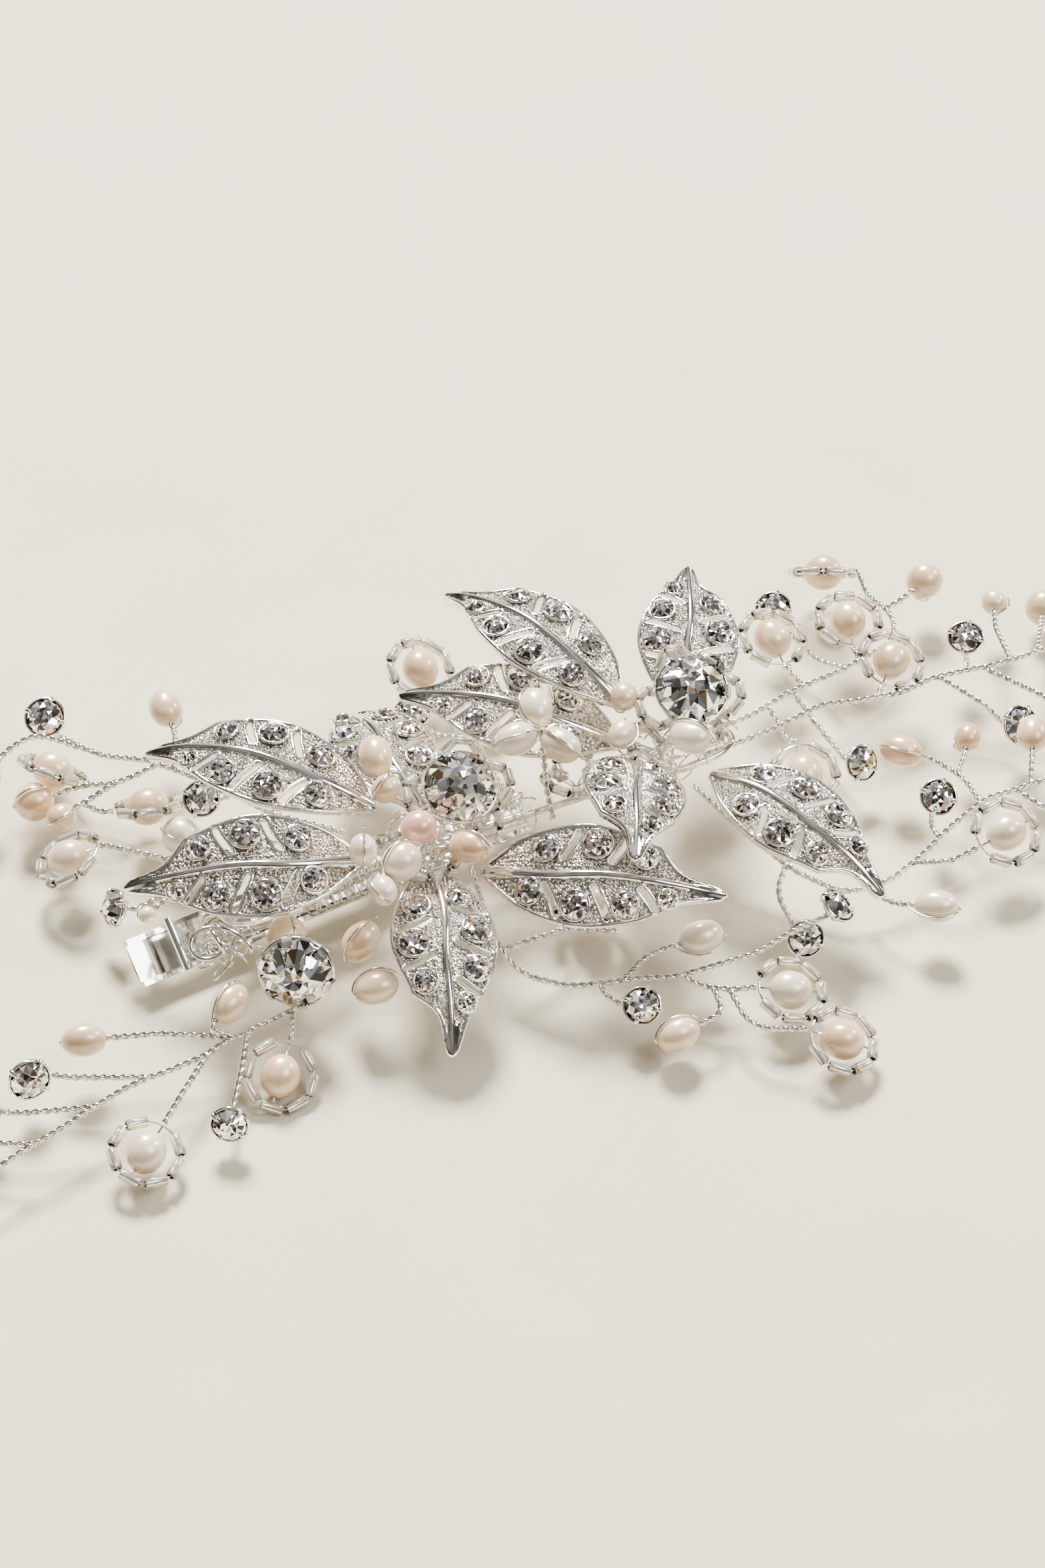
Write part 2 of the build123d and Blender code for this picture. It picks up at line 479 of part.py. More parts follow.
def clip_upper_jaw():
    """Side profile: thumb lip, lever, hinge crown, then the jaw down to the mouth."""
    t = CLIP_SHEET
    top = [(-15.2, 5.2), (-14.6, 5.6), (-13.6, 5.4), (-12.8, 4.9), (-3.2, 2.9), (3.2, 2.9), (36, -0.3),
           (JAW_MOUTH, -0.9)]
    bottom = [(JAW_MOUTH, JAW_FLOOR + t + TOUCH_GAP), (36, -1.2), (3, 2.0), (-3.4, 2.0), (-12.6, 4.0),
              (-13.6, 4.5), (-14.6, 4.6), (-15.2, 4.6)]
    jaw = across_clip(make_face(Polyline(*top, *bottom, close=True)), UPPER_WIDTH)
    ear = make_face(Polyline((-1.8, -1.2), (-2.8, 2.4), (2.8, 2.4), (1.8, -1.2), close=True))
    for side in (-1, 1):
        jaw += Pos(0, side * (UPPER_WIDTH - t) / 2, 0) * across_clip(ear, t)
    lip = Pos(-14.9, 0, 5.0) * Rot(90, 0, 0) * Cylinder(0.7, CLIP_WIDTH + 0.7)
    jaw += lip
    jaw -= hinge_bore(PIN_R + BORE_GAP, 2 * CLIP_WIDTH)
    return solid_of(jaw)


def clip_hinge_pin():
    half = CLIP_WIDTH / 2 + 0.06
    shank = Rot(90, 0, 0) * Cylinder(PIN_R, 2 * half + 0.8)
    heads = [Pos(0, side * (half + 0.25), 0) * Rot(90, 0, 0) * Cylinder(PIN_R + 0.5, 0.5) for side in (-1, 1)]
    return solid_of(shank + heads)


def clip_spring():
    """Torsion spring: a close coil round the pin, one leg under the upper jaw and one on the lower."""
    coil_r = PIN_R + 0.12 + SPRING_WIRE_R
    pitch = 2.12 * SPRING_WIRE_R
    turns = SPRING_TURNS - 0.5 - (SPRING_UPPER_RISE + SPRING_LOWER_DIP) / 360
    dip = radians(SPRING_LOWER_DIP)
    start = Plane(origin=(0, -pitch * turns / 2, 0), x_dir=(-sin(dip), 0, -cos(dip)), z_dir=(0, 1, 0))
    coil = (start * Helix(pitch, pitch * turns, coil_r)).edges()[0]
    lower_leg = Edge.make_line(coil @ 0 - coil % 0 * SPRING_LEG, coil @ 0)
    upper_leg = Edge.make_line(coil @ 1, coil @ 1 + coil % 1 * SPRING_LEG)
    return solid_of(tube(Wire([lower_leg, coil, upper_leg]), SPRING_WIRE_R))


# ---- the whole headpiece -----------------------------------------------------------------------------------
def build():
    """Every node's solids, in the working frame."""
    nodes = {"core_wire": [core_wire()], "binding_wire": binding_wire()}
    clip = clip_plane()
    for make in (clip_lower_jaw, clip_upper_jaw, clip_hinge_pin, clip_spring):
        nodes[make.__name__] = [clip * make()]

    for side, leaves in ((LEFT, LEFT_LEAVES), (RIGHT, RIGHT_LEAVES)):
        for number, placing in enumerate(leaves, start=1):
            plate, stones = leaf(*placing)
            nodes[f"{side}_leaf_{number}"] = [plate]
            nodes[f"{side}_leaf_{number}_stones"] = stones

    cup, rise = claw_cup(CROWN_D, claws=8)
    for name, (centre, facing) in CROWNS.items():
        place = frame_at(centre, facing)
        nodes[f"{name}_setting"] = [place * cup]
        nodes[f"{name}_crystal"] = [place * chaton(CROWN_D)]

    nodes["left_flower_pearls"] = [pearl(*p, STRAND_R) for p in LEFT_PEARLS]
    nodes["left_flower_pink_pearl"] = [pearl(*LEFT_PINK_PEARL, STRAND_R)]
    nodes["right_flower_pearls"] = [pearl(*p, STRAND_R) for p in RIGHT_PEARLS]
    stalk = tube(wire_path([(3.6, 1.2, 10.6), (3.8, 3.6, 15), TREFOIL_TOP]), TWIST_R)
    ways = [unit(way) for way in TREFOIL_WAYS]
    strand = TREFOIL_REACH - PEARL_RICE[0] / 2 + PEARL_GRIP
    tips = [rod(TREFOIL_TOP, tuple(Vector(*TREFOIL_TOP) + way * strand), STRAND_R) for way in ways]
    nodes["trefoil_stalk"] = [solid_of(stalk + tips)]
    nodes["trefoil_pearls"] = [pearl(tuple(Vector(*TREFOIL_TOP) + way * TREFOIL_REACH), tuple(way),
                                     PEARL_RICE, STRAND_R) for way in ways]

    for make in (front_left_spray, front_middle_spray, front_right_spray, right_end_spray, back_right_spray,
                 back_middle_spray, back_left_spray, left_side_spray):
        spray = make()
        nodes[f"{spray.name}_wire"] = spray.wires()
        nodes[f"{spray.name}_pearls"] = spray.pearls
        for kind, pieces in (("cups", spray.cups), ("crystals", spray.stones), ("bugles", spray.bugles)):
            nodes.setdefault(f"{spray.side}_{kind}", []).extend(pieces)
    return nodes


def to_bottom_centre(nodes):
    box = Compound([solid for solids in nodes.values() for solid in solids]).bounding_box()
    middle = box.center()
    return Pos(-middle.X, -middle.Y, -box.min.Z)


def main():
    os.makedirs("parts", exist_ok=True)
    nodes = build()
    move = to_bottom_centre(nodes)
    for name, solids in nodes.items():
        export_step(Compound([move * solid for solid in solids]), f"parts/{name}.step")


main()
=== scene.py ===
"""Looks of the bridal headpiece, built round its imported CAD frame.

Each visual piece is made in millimetres from the CAD node that it replaces: a node's mesh is split into its
separate solids, each solid's place and size are read off it, and the fine shape is drawn there.
"""

import math
import random

import bpy
import numpy as np
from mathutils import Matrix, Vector


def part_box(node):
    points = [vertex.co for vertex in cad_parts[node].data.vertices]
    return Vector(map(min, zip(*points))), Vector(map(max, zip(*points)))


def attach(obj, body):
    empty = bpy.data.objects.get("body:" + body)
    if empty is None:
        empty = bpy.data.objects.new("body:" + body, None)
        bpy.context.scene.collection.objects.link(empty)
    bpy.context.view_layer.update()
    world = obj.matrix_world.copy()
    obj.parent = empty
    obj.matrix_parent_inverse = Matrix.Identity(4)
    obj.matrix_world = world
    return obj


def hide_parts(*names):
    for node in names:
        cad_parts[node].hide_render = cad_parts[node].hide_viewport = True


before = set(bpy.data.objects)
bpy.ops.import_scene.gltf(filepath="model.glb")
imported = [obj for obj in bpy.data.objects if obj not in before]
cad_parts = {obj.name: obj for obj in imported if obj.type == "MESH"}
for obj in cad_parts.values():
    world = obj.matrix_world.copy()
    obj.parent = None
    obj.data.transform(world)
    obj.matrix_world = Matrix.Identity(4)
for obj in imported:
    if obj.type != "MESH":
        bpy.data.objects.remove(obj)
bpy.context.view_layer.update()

MM = 0.001
BODY = "headpiece"
rng = random.Random(11)

# sizes in millimetres, as the CAD has them unless a note says otherwise
STRAND_R = 0.16
TWIST_R = 0.34
STRAND_SHOWN_R = 0.24  # shown a little over STRAND_R, since a twisted pair's kinks stand off
BUGLE_SHOWN_R = 0.8  # shown stouter than the CAD's beads, which are 0.65
TWIST_PITCH = 2.6
RING_R = 4.6
LEAF_LENGTH = 33.0
LEAF_THICKNESS = 0.9
LEAF_STONES = ((7.2, 2.9, 3.6), (8.8, -3.2, 3.6), (13.9, 4.6, 4.0), (16.0, -4.3, 4.0),
               (20.7, 4.0, 3.6), (22.6, -3.2, 3.2), (26.2, 2.2, 2.6))
LEAF_CELL = 0.21  # grid step of a leaf's mesh
STONE_RISE = 0.62  # how far above its face a stone's middle sits
SLOT_HALF = 0.42  # half the width of a leaf's open slots
GRAIN_STEP = 0.62  # grid step of the granules on a leaf

UP = np.array((0.0, 0.0, 1.0))


# ---- materials ---------------------------------------------------------------------------------------------
def material(name, base, metallic=0.0, roughness=0.3, **sockets):
    m = bpy.data.materials.new(name)
    m.use_nodes = True
    shader = m.node_tree.nodes["Principled BSDF"]
    shader.inputs["Base Color"].default_value = (*base, 1)
    if metallic:
        shader.inputs["Metallic"].default_value = metallic
    shader.inputs["Roughness"].default_value = roughness
    for key, value in sockets.items():
        shader.inputs[key.replace("_", " ")].default_value = value
    return m


def node(m, kind, **settings):
    n = m.node_tree.nodes.new(kind)
    for key, value in settings.items():
        if hasattr(n, key):
            setattr(n, key, value)
        else:
            n.inputs[key.replace("_", " ")].default_value = value
    return n


def link(m, a, b):
    m.node_tree.links.new(a, b)


def ramp(m, factor, stops, interpolation="LINEAR"):
    n = node(m, "ShaderNodeValToRGB")
    n.color_ramp.interpolation = interpolation
    points = n.color_ramp.elements
    while len(points) < len(stops):
        points.new(0.5)
    for point, (at, colour) in zip(points, stops):
        point.position = at
        point.color = (*colour, 1)
    link(m, factor, n.inputs["Fac"])
    return n


def shader_of(m):
    return m.node_tree.nodes["Principled BSDF"]


def coordinates(m):
    return node(m, "ShaderNodeTexCoord").outputs["Object"]


def varied(m, scale, low, high, detail=2.0):
    """The base colour drifts between two tones with a soft noise."""
    noise = node(m, "ShaderNodeTexNoise", Scale=scale, Detail=detail)
    link(m, coordinates(m), noise.inputs["Vector"])
    tones = ramp(m, noise.outputs["Fac"], [(0.35, low), (0.65, high)])
    link(m, tones.outputs["Color"], shader_of(m).inputs["Base Color"])
    return noise


def bumped(m, height, strength, distance):
    bump = node(m, "ShaderNodeBump", Strength=strength, Distance=distance)
    link(m, height, bump.inputs["Height"])
    link(m, bump.outputs["Normal"], shader_of(m).inputs["Normal"])


def silver(name, roughness, low, high, grain=None):
    m = material(name, high, metallic=1.0, roughness=roughness)
    noise = varied(m, 900, low, high)
    if grain:
        cells = node(m, "ShaderNodeTexVoronoi", Scale=grain)
        link(m, coordinates(m), cells.inputs["Vector"])
        bumped(m, cells.outputs["Distance"], 0.9, 0.00022)
    else:
        bumped(m, noise.outputs["Fac"], 0.12, 0.00005)
    return m


def vector_math(m, operation, first, second, third=None):
    """A vector operation on outputs or on plain values."""
    n = node(m, "ShaderNodeVectorMath", operation=operation)
    for socket, value in zip(n.inputs, (first, second, third)):
        if isinstance(value, tuple):
            socket.default_value = value
        elif value is not None:
            link(m, value, socket)
    return n.outputs["Vector"]


def stone(name, stops, cell, lean):
    """Foiled cut glass: every facet, and every cell seen inside it, mirrors its own way in its own tone; the
    white and near-black tones are painted reflections of bright and dark surroundings.
    """
    m = material(name, (0.9, 0.9, 0.92), metallic=1.0, roughness=0.04)
    facing = node(m, "ShaderNodeNewGeometry").outputs["True Normal"]
    cells = node(m, "ShaderNodeTexVoronoi", Scale=cell)
    link(m, coordinates(m), cells.inputs["Vector"])
    seed = vector_math(m, "ADD", vector_math(m, "SNAP", facing, (0.07, 0.07, 0.07)), cells.outputs["Color"])
    hashed = node(m, "ShaderNodeTexWhiteNoise", noise_dimensions="3D")
    link(m, seed, hashed.inputs["Vector"])
    # painted reflections: each facet's tone, from light to near-black, stands in for what the facet would
    # mirror
    tones = ramp(m, hashed.outputs["Value"], stops, "CONSTANT")
    link(m, tones.outputs["Color"], shader_of(m).inputs["Base Color"])
    tilt = vector_math(m, "MULTIPLY_ADD", hashed.outputs["Color"], (lean, lean, lean), (-lean / 2,) * 3)
    turned = vector_math(m, "NORMALIZE", vector_math(m, "ADD", facing, tilt), None)
    link(m, turned, shader_of(m).inputs["Normal"])
    return m


def pearl_material(name, low, high):
    m = material(name, high, roughness=0.3, Coat_Weight=1.0, Coat_Roughness=0.07, Subsurface_Weight=0.08,
                 Subsurface_Scale=0.0008, Specular_IOR_Level=0.7, Metallic=0.12)
    noise = varied(m, 160, low, high, detail=3.0)
    shader_of(m).inputs["Subsurface Radius"].default_value = (1.0, 0.7, 0.5)
    bumped(m, noise.outputs["Fac"], 0.25, 0.0003)
    return m


POLISHED = silver("polished_silver", 0.08, (0.84, 0.815, 0.77), (0.97, 0.955, 0.925))
# the leaf's recessed field: a real granular finish, with its dark low tone as painted shade in the recess
SHADED_GRANULAR = silver("granular_silver_shaded", 0.26, (0.26, 0.225, 0.18), (0.62, 0.58, 0.52), grain=3000)
WIRE = silver("silver_wire", 0.12, (0.62, 0.59, 0.54), (0.95, 0.935, 0.90))
CHROME = silver("clip_chrome", 0.09, (0.84, 0.83, 0.80), (0.93, 0.92, 0.90))
STEEL = silver("spring_steel", 0.3, (0.45, 0.45, 0.45), (0.62, 0.62, 0.62))
GILT = silver("cup_inside", 0.2, (0.55, 0.38, 0.20), (0.80, 0.68, 0.50))
# facet tones of the stones: the whites and near-blacks are painted reflections and painted shade, not the
# glass's own colour
CLEAR = stone("clear_stone", [(0.0, (0.98, 0.98, 0.98)), (0.30, (0.74, 0.74, 0.77)),
                              (0.42, (0.98, 0.98, 0.99)), (0.66, (0.14, 0.13, 0.15)),
                              (0.74, (0.66, 0.72, 0.84)), (0.82, (0.98, 0.97, 0.95)),
                              (0.93, (0.60, 0.42, 0.25))], 480, 0.6)
GREY = stone("grey_stone", [(0.0, (0.95, 0.94, 0.95)), (0.24, (0.50, 0.44, 0.48)),
                            (0.40, (0.88, 0.86, 0.90)), (0.60, (0.12, 0.10, 0.11)),
                            (0.73, (0.98, 0.97, 0.97)), (0.91, (0.55, 0.38, 0.25))], 900, 0.75)
IVORY = pearl_material("pearl_ivory", (0.58, 0.40, 0.23), (0.79, 0.63, 0.43))
WHITE = pearl_material("pearl_white", (0.68, 0.53, 0.36), (0.83, 0.73, 0.58))
PEACH = pearl_material("pearl_peach", (0.62, 0.39, 0.22), (0.79, 0.60, 0.41))
PINK = pearl_material("pearl_pink", (0.60, 0.29, 0.22), (0.77, 0.47, 0.40))
# painted shade: a dark disc stands in for the inside of each drill hole
HOLE_SHADE = material("drill_hole_shade", (0.45, 0.25, 0.12), roughness=0.6)
varied(HOLE_SHADE, 3000, (0.35, 0.18, 0.08), (0.55, 0.34, 0.2))

GLASS = material("bugle_glass", (0.95, 0.92, 0.87), roughness=0.04, Transmission_Weight=0.85, IOR=1.5)
varied(GLASS, 700, (0.92, 0.87, 0.80), (0.98, 0.96, 0.93))
LINING = silver("bugle_lining", 0.16, (0.74, 0.67, 0.56), (0.98, 0.965, 0.93))


# ---- meshes ------------------------------------------------------------------------------------------------
class Builder:
    """Collects vertices in millimetres and faces, each with a material and a smooth flag, for one object."""

    def __init__(self):
        self.verts, self.faces, self.mats, self.smooth, self.kinds = [], [], [], [], []
        self.count = 0

    def add(self, verts, faces, mat, smooth=True):
        base = self.count
        self.verts.append(np.asarray(verts, float))
        self.count += len(verts)
        self.add_faces(base, faces, mat, smooth)
        return base

    def add_faces(self, base, faces, mat, smooth=True):
        """Faces on vertices that are already there, counted from base."""
        if mat not in self.kinds:
            self.kinds.append(mat)
        self.faces += [tuple(i + base for i in f) for f in faces]
        self.mats += [self.kinds.index(mat)] * len(faces)
        self.smooth += [smooth] * len(faces)

    def object(self, name, slot, *replaced):
        mesh = bpy.data.meshes.new(name)
        mesh.from_pydata((np.concatenate(self.verts) * MM).tolist(), [], self.faces)
        for mat in self.kinds:
            mesh.materials.append(mat)
        mesh.polygons.foreach_set("material_index", self.mats)
        mesh.polygons.foreach_set("use_smooth", self.smooth)
        mesh.update()
        o = bpy.data.objects.new(name, mesh)
        bpy.context.scene.collection.objects.link(o)
        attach(o, BODY)
        if replaced:
            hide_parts(*replaced)
        return o


def normalised(v):
    v = np.asarray(v, float)
    return v / max(np.linalg.norm(v), 1e-12)


def basis(z, hint=(1.0, 0.0, 0.0)):
    """Rows x, y, z of a right-handed frame with that z."""
    z = normalised(z)
    x = np.asarray(hint, float)
    x = x - z * (x @ z)
    if np.linalg.norm(x) < 1e-3:
        x = np.array((0.0, 1.0, 0.0)) - z * z[1]
    x = normalised(x)
    return np.array((x, np.cross(z, x), z))


def placed(verts, centre, rows):
    return np.asarray(verts, float) @ rows + np.asarray(centre, float)


def grid_faces(rows, columns, wrap):
    """Quads of a grid of rows x columns vertices, closed across the columns if wrap."""
    return [(r * columns + c, r * columns + (c + 1) % columns, (r + 1) * columns + (c + 1) % columns,
             (r + 1) * columns + c)
            for r in range(rows - 1) for c in range(columns if wrap else columns - 1)]


def lathe(profile, sides):
    """Vertices and faces of a (radius, height) profile turned about z."""
    turn = np.arange(sides) * 2 * math.pi / sides
    verts = [(r * math.cos(a), r * math.sin(a), z) for r, z in profile for a in turn]
    return verts, grid_faces(len(profile), sides, True)


def resample(points, step):
    points = np.asarray(points, float)
    legs = np.linalg.norm(np.diff(points, axis=0), axis=1)
    along = np.concatenate([[0], np.cumsum(legs)])
    n = max(2, int(round(along[-1] / step)) + 1)
    at = np.linspace(0, along[-1], n)
    return np.stack([np.interp(at, along, points[:, k]) for k in range(3)], axis=1)


def rounded(points, times=2):
    """Corners cut twice over, ends kept."""
    points = np.asarray(points, float)
    for _ in range(times):
        a, b = points[:-1], points[1:]
        cut = np.stack([0.75 * a + 0.25 * b, 0.25 * a + 0.75 * b], axis=1).reshape(-1, 3)
        points = np.concatenate([points[:1], cut[1:-1], points[-1:]])
    return points


def side_frames(points):
    """Two directions across the path at each point, turning as little as they can."""
    ahead = np.gradient(points, axis=0)
    ahead /= np.maximum(np.linalg.norm(ahead, axis=1), 1e-12)[:, None]
    x = basis(ahead[0])[0]
    across = []
    for t in ahead:
        x = normalised(x - t * (x @ t))
        across.append(x)
    across = np.array(across)
    return across, np.cross(ahead, across)


def tube(b, points, radius, mat, sides=6, closed=False):
    points = np.asarray(points, float)
    u, v = side_frames(points)
    turn = np.arange(sides) * 2 * math.pi / sides
    cos, sin = np.cos(turn)[None, :, None], np.sin(turn)[None, :, None]
    verts = (points[:, None, :] + (u[:, None, :] * cos + v[:, None, :] * sin) * radius).reshape(-1, 3)
    faces = grid_faces(len(points), sides, True)
    last = (len(points) - 1) * sides
    if closed:
        faces += [(last + c, last + (c + 1) % sides, (c + 1) % sides, c) for c in range(sides)]
    else:
        faces += [tuple(range(sides))[::-1], tuple(last + c for c in range(sides))]
    b.add(verts, faces, mat)


def twisted(b, points, mat=None):
    """Two strands laid round each other along the path."""
    points = resample(rounded(points), 0.2)
    u, v = side_frames(points)
    phase = np.arange(len(points)) * 0.2 * 2 * math.pi / TWIST_PITCH + rng.uniform(0, 6)
    for turn in (0, math.pi):
        offset = (u * np.cos(phase + turn)[:, None] + v * np.sin(phase + turn)[:, None]) * STRAND_SHOWN_R
        tube(b, points + offset, STRAND_SHOWN_R, mat or WIRE, sides=6)


def circle(centre, rows, radius, n=40):
    turn = np.arange(n) * 2 * math.pi / n
    return placed(np.stack([radius * np.cos(turn), radius * np.sin(turn), 0 * turn], axis=1), centre, rows)


# ---- reading the frame's meshes ----------------------------------------------------------------------------
def mesh_of(name):
    """A CAD node's welded vertices in millimetres and its triangles."""
    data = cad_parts[name].data
    data.calc_loop_triangles()
    co = np.zeros(len(data.vertices) * 3)
    data.vertices.foreach_get("co", co)
    tri = np.zeros(len(data.loop_triangles) * 3, dtype=int)
    data.loop_triangles.foreach_get("vertices", tri)
    co = co.reshape(-1, 3) / MM
    _, first, back = np.unique(np.round(co, 4), axis=0, return_index=True, return_inverse=True)
    tri = back.reshape(-1)[tri].reshape(-1, 3)
    tri = tri[(tri[:, 0] != tri[:, 1]) & (tri[:, 1] != tri[:, 2]) & (tri[:, 2] != tri[:, 0])]
    return co[first], tri


def islands(name):
    """The node's separate solids as (vertices, triangles), largest first."""
    co, tri = mesh_of(name)
    label = np.arange(len(co))
    while True:
        low = label[tri].min(axis=1)
        new = label.copy()
        for k in range(3):
            np.minimum.at(new, tri[:, k], low)
        new = new[new]
        if (new == label).all():
            break
        label = new
    found = []
    for part in np.unique(label[tri[:, 0]]):
        mine = tri[label[tri[:, 0]] == part]
        used = np.unique(mine)
        at = np.zeros(len(co), dtype=int)
        at[used] = np.arange(len(used))
        verts = co[used]
        if np.ptp(verts, axis=0).max() > 0.5:
            found.append((verts, at[mine]))
    return sorted(found, key=lambda p: -np.ptp(p[0], axis=0).max())


def surface_frame(verts, tri):
    """Surface centroid, and the principal directions as rows, the longest first."""
    a, b, c = verts[tri[:, 0]], verts[tri[:, 1]], verts[tri[:, 2]]
    area = np.linalg.norm(np.cross(b - a, c - a), axis=1) / 2
    middle = (a + b + c) / 3
    centre = (middle * area[:, None]).sum(0) / area.sum()
    spread = ((middle - centre) * area[:, None]).T @ (middle - centre) / area.sum()
    return centre, np.linalg.eigh(spread)[1].T[::-1]


def vertex_normals(verts, tri):
    normal = np.zeros_like(verts)
    for k in range(3):
        a, b, c = verts[tri[:, k]], verts[tri[:, (k + 1) % 3]], verts[tri[:, (k + 2) % 3]]
        flat = np.cross(b - a, c - a)
        size = np.linalg.norm(flat, axis=1)
        one = np.linalg.norm(b - a, axis=1) * np.linalg.norm(c - a, axis=1)
        angle = np.arccos(np.clip(((b - a) * (c - a)).sum(1) / np.maximum(one, 1e-12), -1, 1))
        np.add.at(normal, tri[:, k], flat / np.maximum(size, 1e-12)[:, None] * angle[:, None])
    return normal / np.maximum(np.linalg.norm(normal, axis=1), 1e-12)[:, None]


def centre_lines(verts, tri, radius):
    """The paths along which a branching tube of that radius runs."""
    axis = verts - vertex_normals(verts, tri) * radius
    centres, members = np.zeros((0, 3)), []
    owner = np.zeros(len(axis), dtype=int)
    for i, p in enumerate(axis):
        if len(centres):
            gap = np.linalg.norm(centres - p, axis=1)
            near = int(gap.argmin())
            if gap[near] < 0.42:
                members[near].append(i)
                owner[i] = near
                continue
        centres = np.concatenate([centres, p[None]])
        members.append([i])
        owner[i] = len(members) - 1
    centres = np.array([axis[m].mean(0) for m in members])
    pairs = {tuple(sorted((owner[a], owner[b])))
             for t in tri for a, b in ((t[0], t[1]), (t[1], t[2]), (t[2], t[0])) if owner[a] != owner[b]}
    root = list(range(len(centres)))

    def top(i):
        while root[i] != i:
            root[i] = root[root[i]]
            i = root[i]
        return i

    joined = [set() for _ in centres]
    for a, b in sorted(pairs, key=lambda p: np.linalg.norm(centres[p[0]] - centres[p[1]])):
        if top(a) != top(b):
            root[top(a)] = top(b)
            joined[a].add(b)
            joined[b].add(a)
    for i in range(len(centres)):  # stubs that the flat ends leave
        if len(joined[i]) == 1:
            j = next(iter(joined[i]))
            if len(joined[j]) > 2 and np.linalg.norm(centres[i] - centres[j]) < 0.6:
                joined[i].clear()
                joined[j].discard(i)
    follows = {}
    for i, near in enumerate(joined):
        free = sorted(near)
        while len(free) > 1:
            best = min(((a, b) for a in free for b in free if a < b), key=lambda p: normalised(
                centres[p[0]] - centres[i]) @ normalised(centres[p[1]] - centres[i]))
            follows[(best[0], i)], follows[(best[1], i)] = best[1], best[0]
            free.remove(best[0])
            free.remove(best[1])
    paths, done = [], set()
    for i, near in enumerate(joined):
        for j in sorted(near):
            if (i, j) in done or (j, i) in follows:
                continue
            path, a, b = [i, j], i, j
            done.add((a, b))
            while (a, b) in follows:
                a, b = b, follows[(a, b)]
                done.add((a, b))
                path.append(b)
            done.add((b, a))
            done.update((q, p) for p, q in zip(path, path[1:]))
            paths.append(centres[path])
    return paths


# ---- beads, stones and settings ----------------------------------------------------------------------------
def pearl(b, centre, along, length, diameter, mat, baroque=0.0, loop=True):
    """An oval pearl, a little uneven, with drill holes shown as dark discs of painted shade, and the fine
    wire drawn round one side of it.
    """
    rings, sides = 14, 20
    rows = basis(along, hint=(rng.uniform(-1, 1), rng.uniform(-1, 1), rng.uniform(-1, 1)))
    verts, shift = [], [rng.uniform(0, 6.3) for _ in range(4)]
    for r in range(rings + 1):
        a = math.pi * r / rings
        for s in range(sides):
            t = 2 * math.pi * s / sides
            lump = 1 + 0.018 * math.sin(2 * t + shift[0]) * math.sin(a) + baroque * (
                math.sin(3 * a + shift[1]) * math.cos(t + shift[2])
                + 0.6 * math.sin(2 * t + 3 * a + shift[3]))
            verts.append((diameter / 2 * lump * math.sin(a) * math.cos(t),
                          diameter / 2 * lump * math.sin(a) * math.sin(t), -length / 2 * math.cos(a)))
    b.add(placed(verts, centre, rows), [f[::-1] for f in grid_faces(rings + 1, sides, True)][::-1], mat)
    along = rows[2]
    # a dark disc at each end, painted shade for the drill hole
    for way in (-1, 1):
        hole = [(0.34 * math.cos(t * math.pi / 4), 0.34 * math.sin(t * math.pi / 4), 0) for t in range(8)]
        b.add(placed(hole, np.asarray(centre) + along * way * (length / 2 - 0.015), basis(along * way)),
              [tuple(range(8))], HOLE_SHADE)
    if loop:
        turn = rng.uniform(0, 2 * math.pi)
        side = normalised(rows[0] * math.cos(turn) + rows[1] * math.sin(turn) + 0.5 * UP)
        side = normalised(side - along * (side @ along))
        half, wide = length / 2, diameter / 2
        way = [(-half - 1.0, 0.1), (-half * 0.9, 0.55 * wide + 0.3), (-half * 0.4, 0.95 * wide + 0.35),
               (half * 0.3, wide + 0.3), (half * 0.85, 0.62 * wide + 0.35), (half + 0.35, 0.35),
               (half - 0.3, 0.0)]
        path = [np.asarray(centre) + along * a + side * s for a, s in way]
        tube(b, resample(rounded(path, 3), 0.35), STRAND_R, WIRE, sides=6)


def brilliant(b, centre, rows, diameter, low, girdle, table, mat, fold=8, face=0.5):
    """A faceted stone: culet at low, table at the top, heights along the third row from centre."""
    r = diameter / 2
    crown = table - girdle
    step = math.pi / fold

    def ring(radius, height, n, turn=0.0):
        angles = [turn + k * 2 * math.pi / n for k in range(n)]
        return [(radius * math.cos(a), radius * math.sin(a), height) for a in angles]

    verts = [(0, 0, table - 0.02 * r)] + ring(0.27 * r, table, fold, step)
    verts += ring(face * r, table - 0.04 * r, fold)
    verts += ring(0.78 * r, girdle + 0.6 * crown, fold, step) + ring(r, girdle + 0.04 * r, 2 * fold)
    verts += ring(r, girdle - 0.04 * r, 2 * fold) + [(0, 0, low)]
    inner, star, mid, rim, under, culet = 1, 1 + fold, 1 + 2 * fold, 1 + 3 * fold, 1 + 5 * fold, 1 + 7 * fold
    faces = []
    for k in range(fold):
        n = (k + 1) % fold
        faces.append((0, inner + k, inner + n))
        faces.append((inner + k, star + k, star + n))
        faces.append((inner + k, star + n, inner + n))
        faces.append((star + k, mid + k, star + n))
        faces.append((star + n, mid + k, rim + 2 * n, mid + n))
        faces.append((mid + k, rim + 2 * k, rim + 2 * k + 1))
        faces.append((mid + k, rim + 2 * k + 1, rim + (2 * k + 2) % (2 * fold)))
    for k in range(2 * fold):
        n = (k + 1) % (2 * fold)
        faces.append((rim + k, under + k, under + n, rim + n))
        faces.append((under + k, culet, under + n))
    verts = np.array(verts)
    verts[inner:star, 2] += [rng.uniform(-0.03, 0.03) * r for _ in range(fold)]
    b.add(placed(verts, centre, rows), faces, mat, smooth=False)


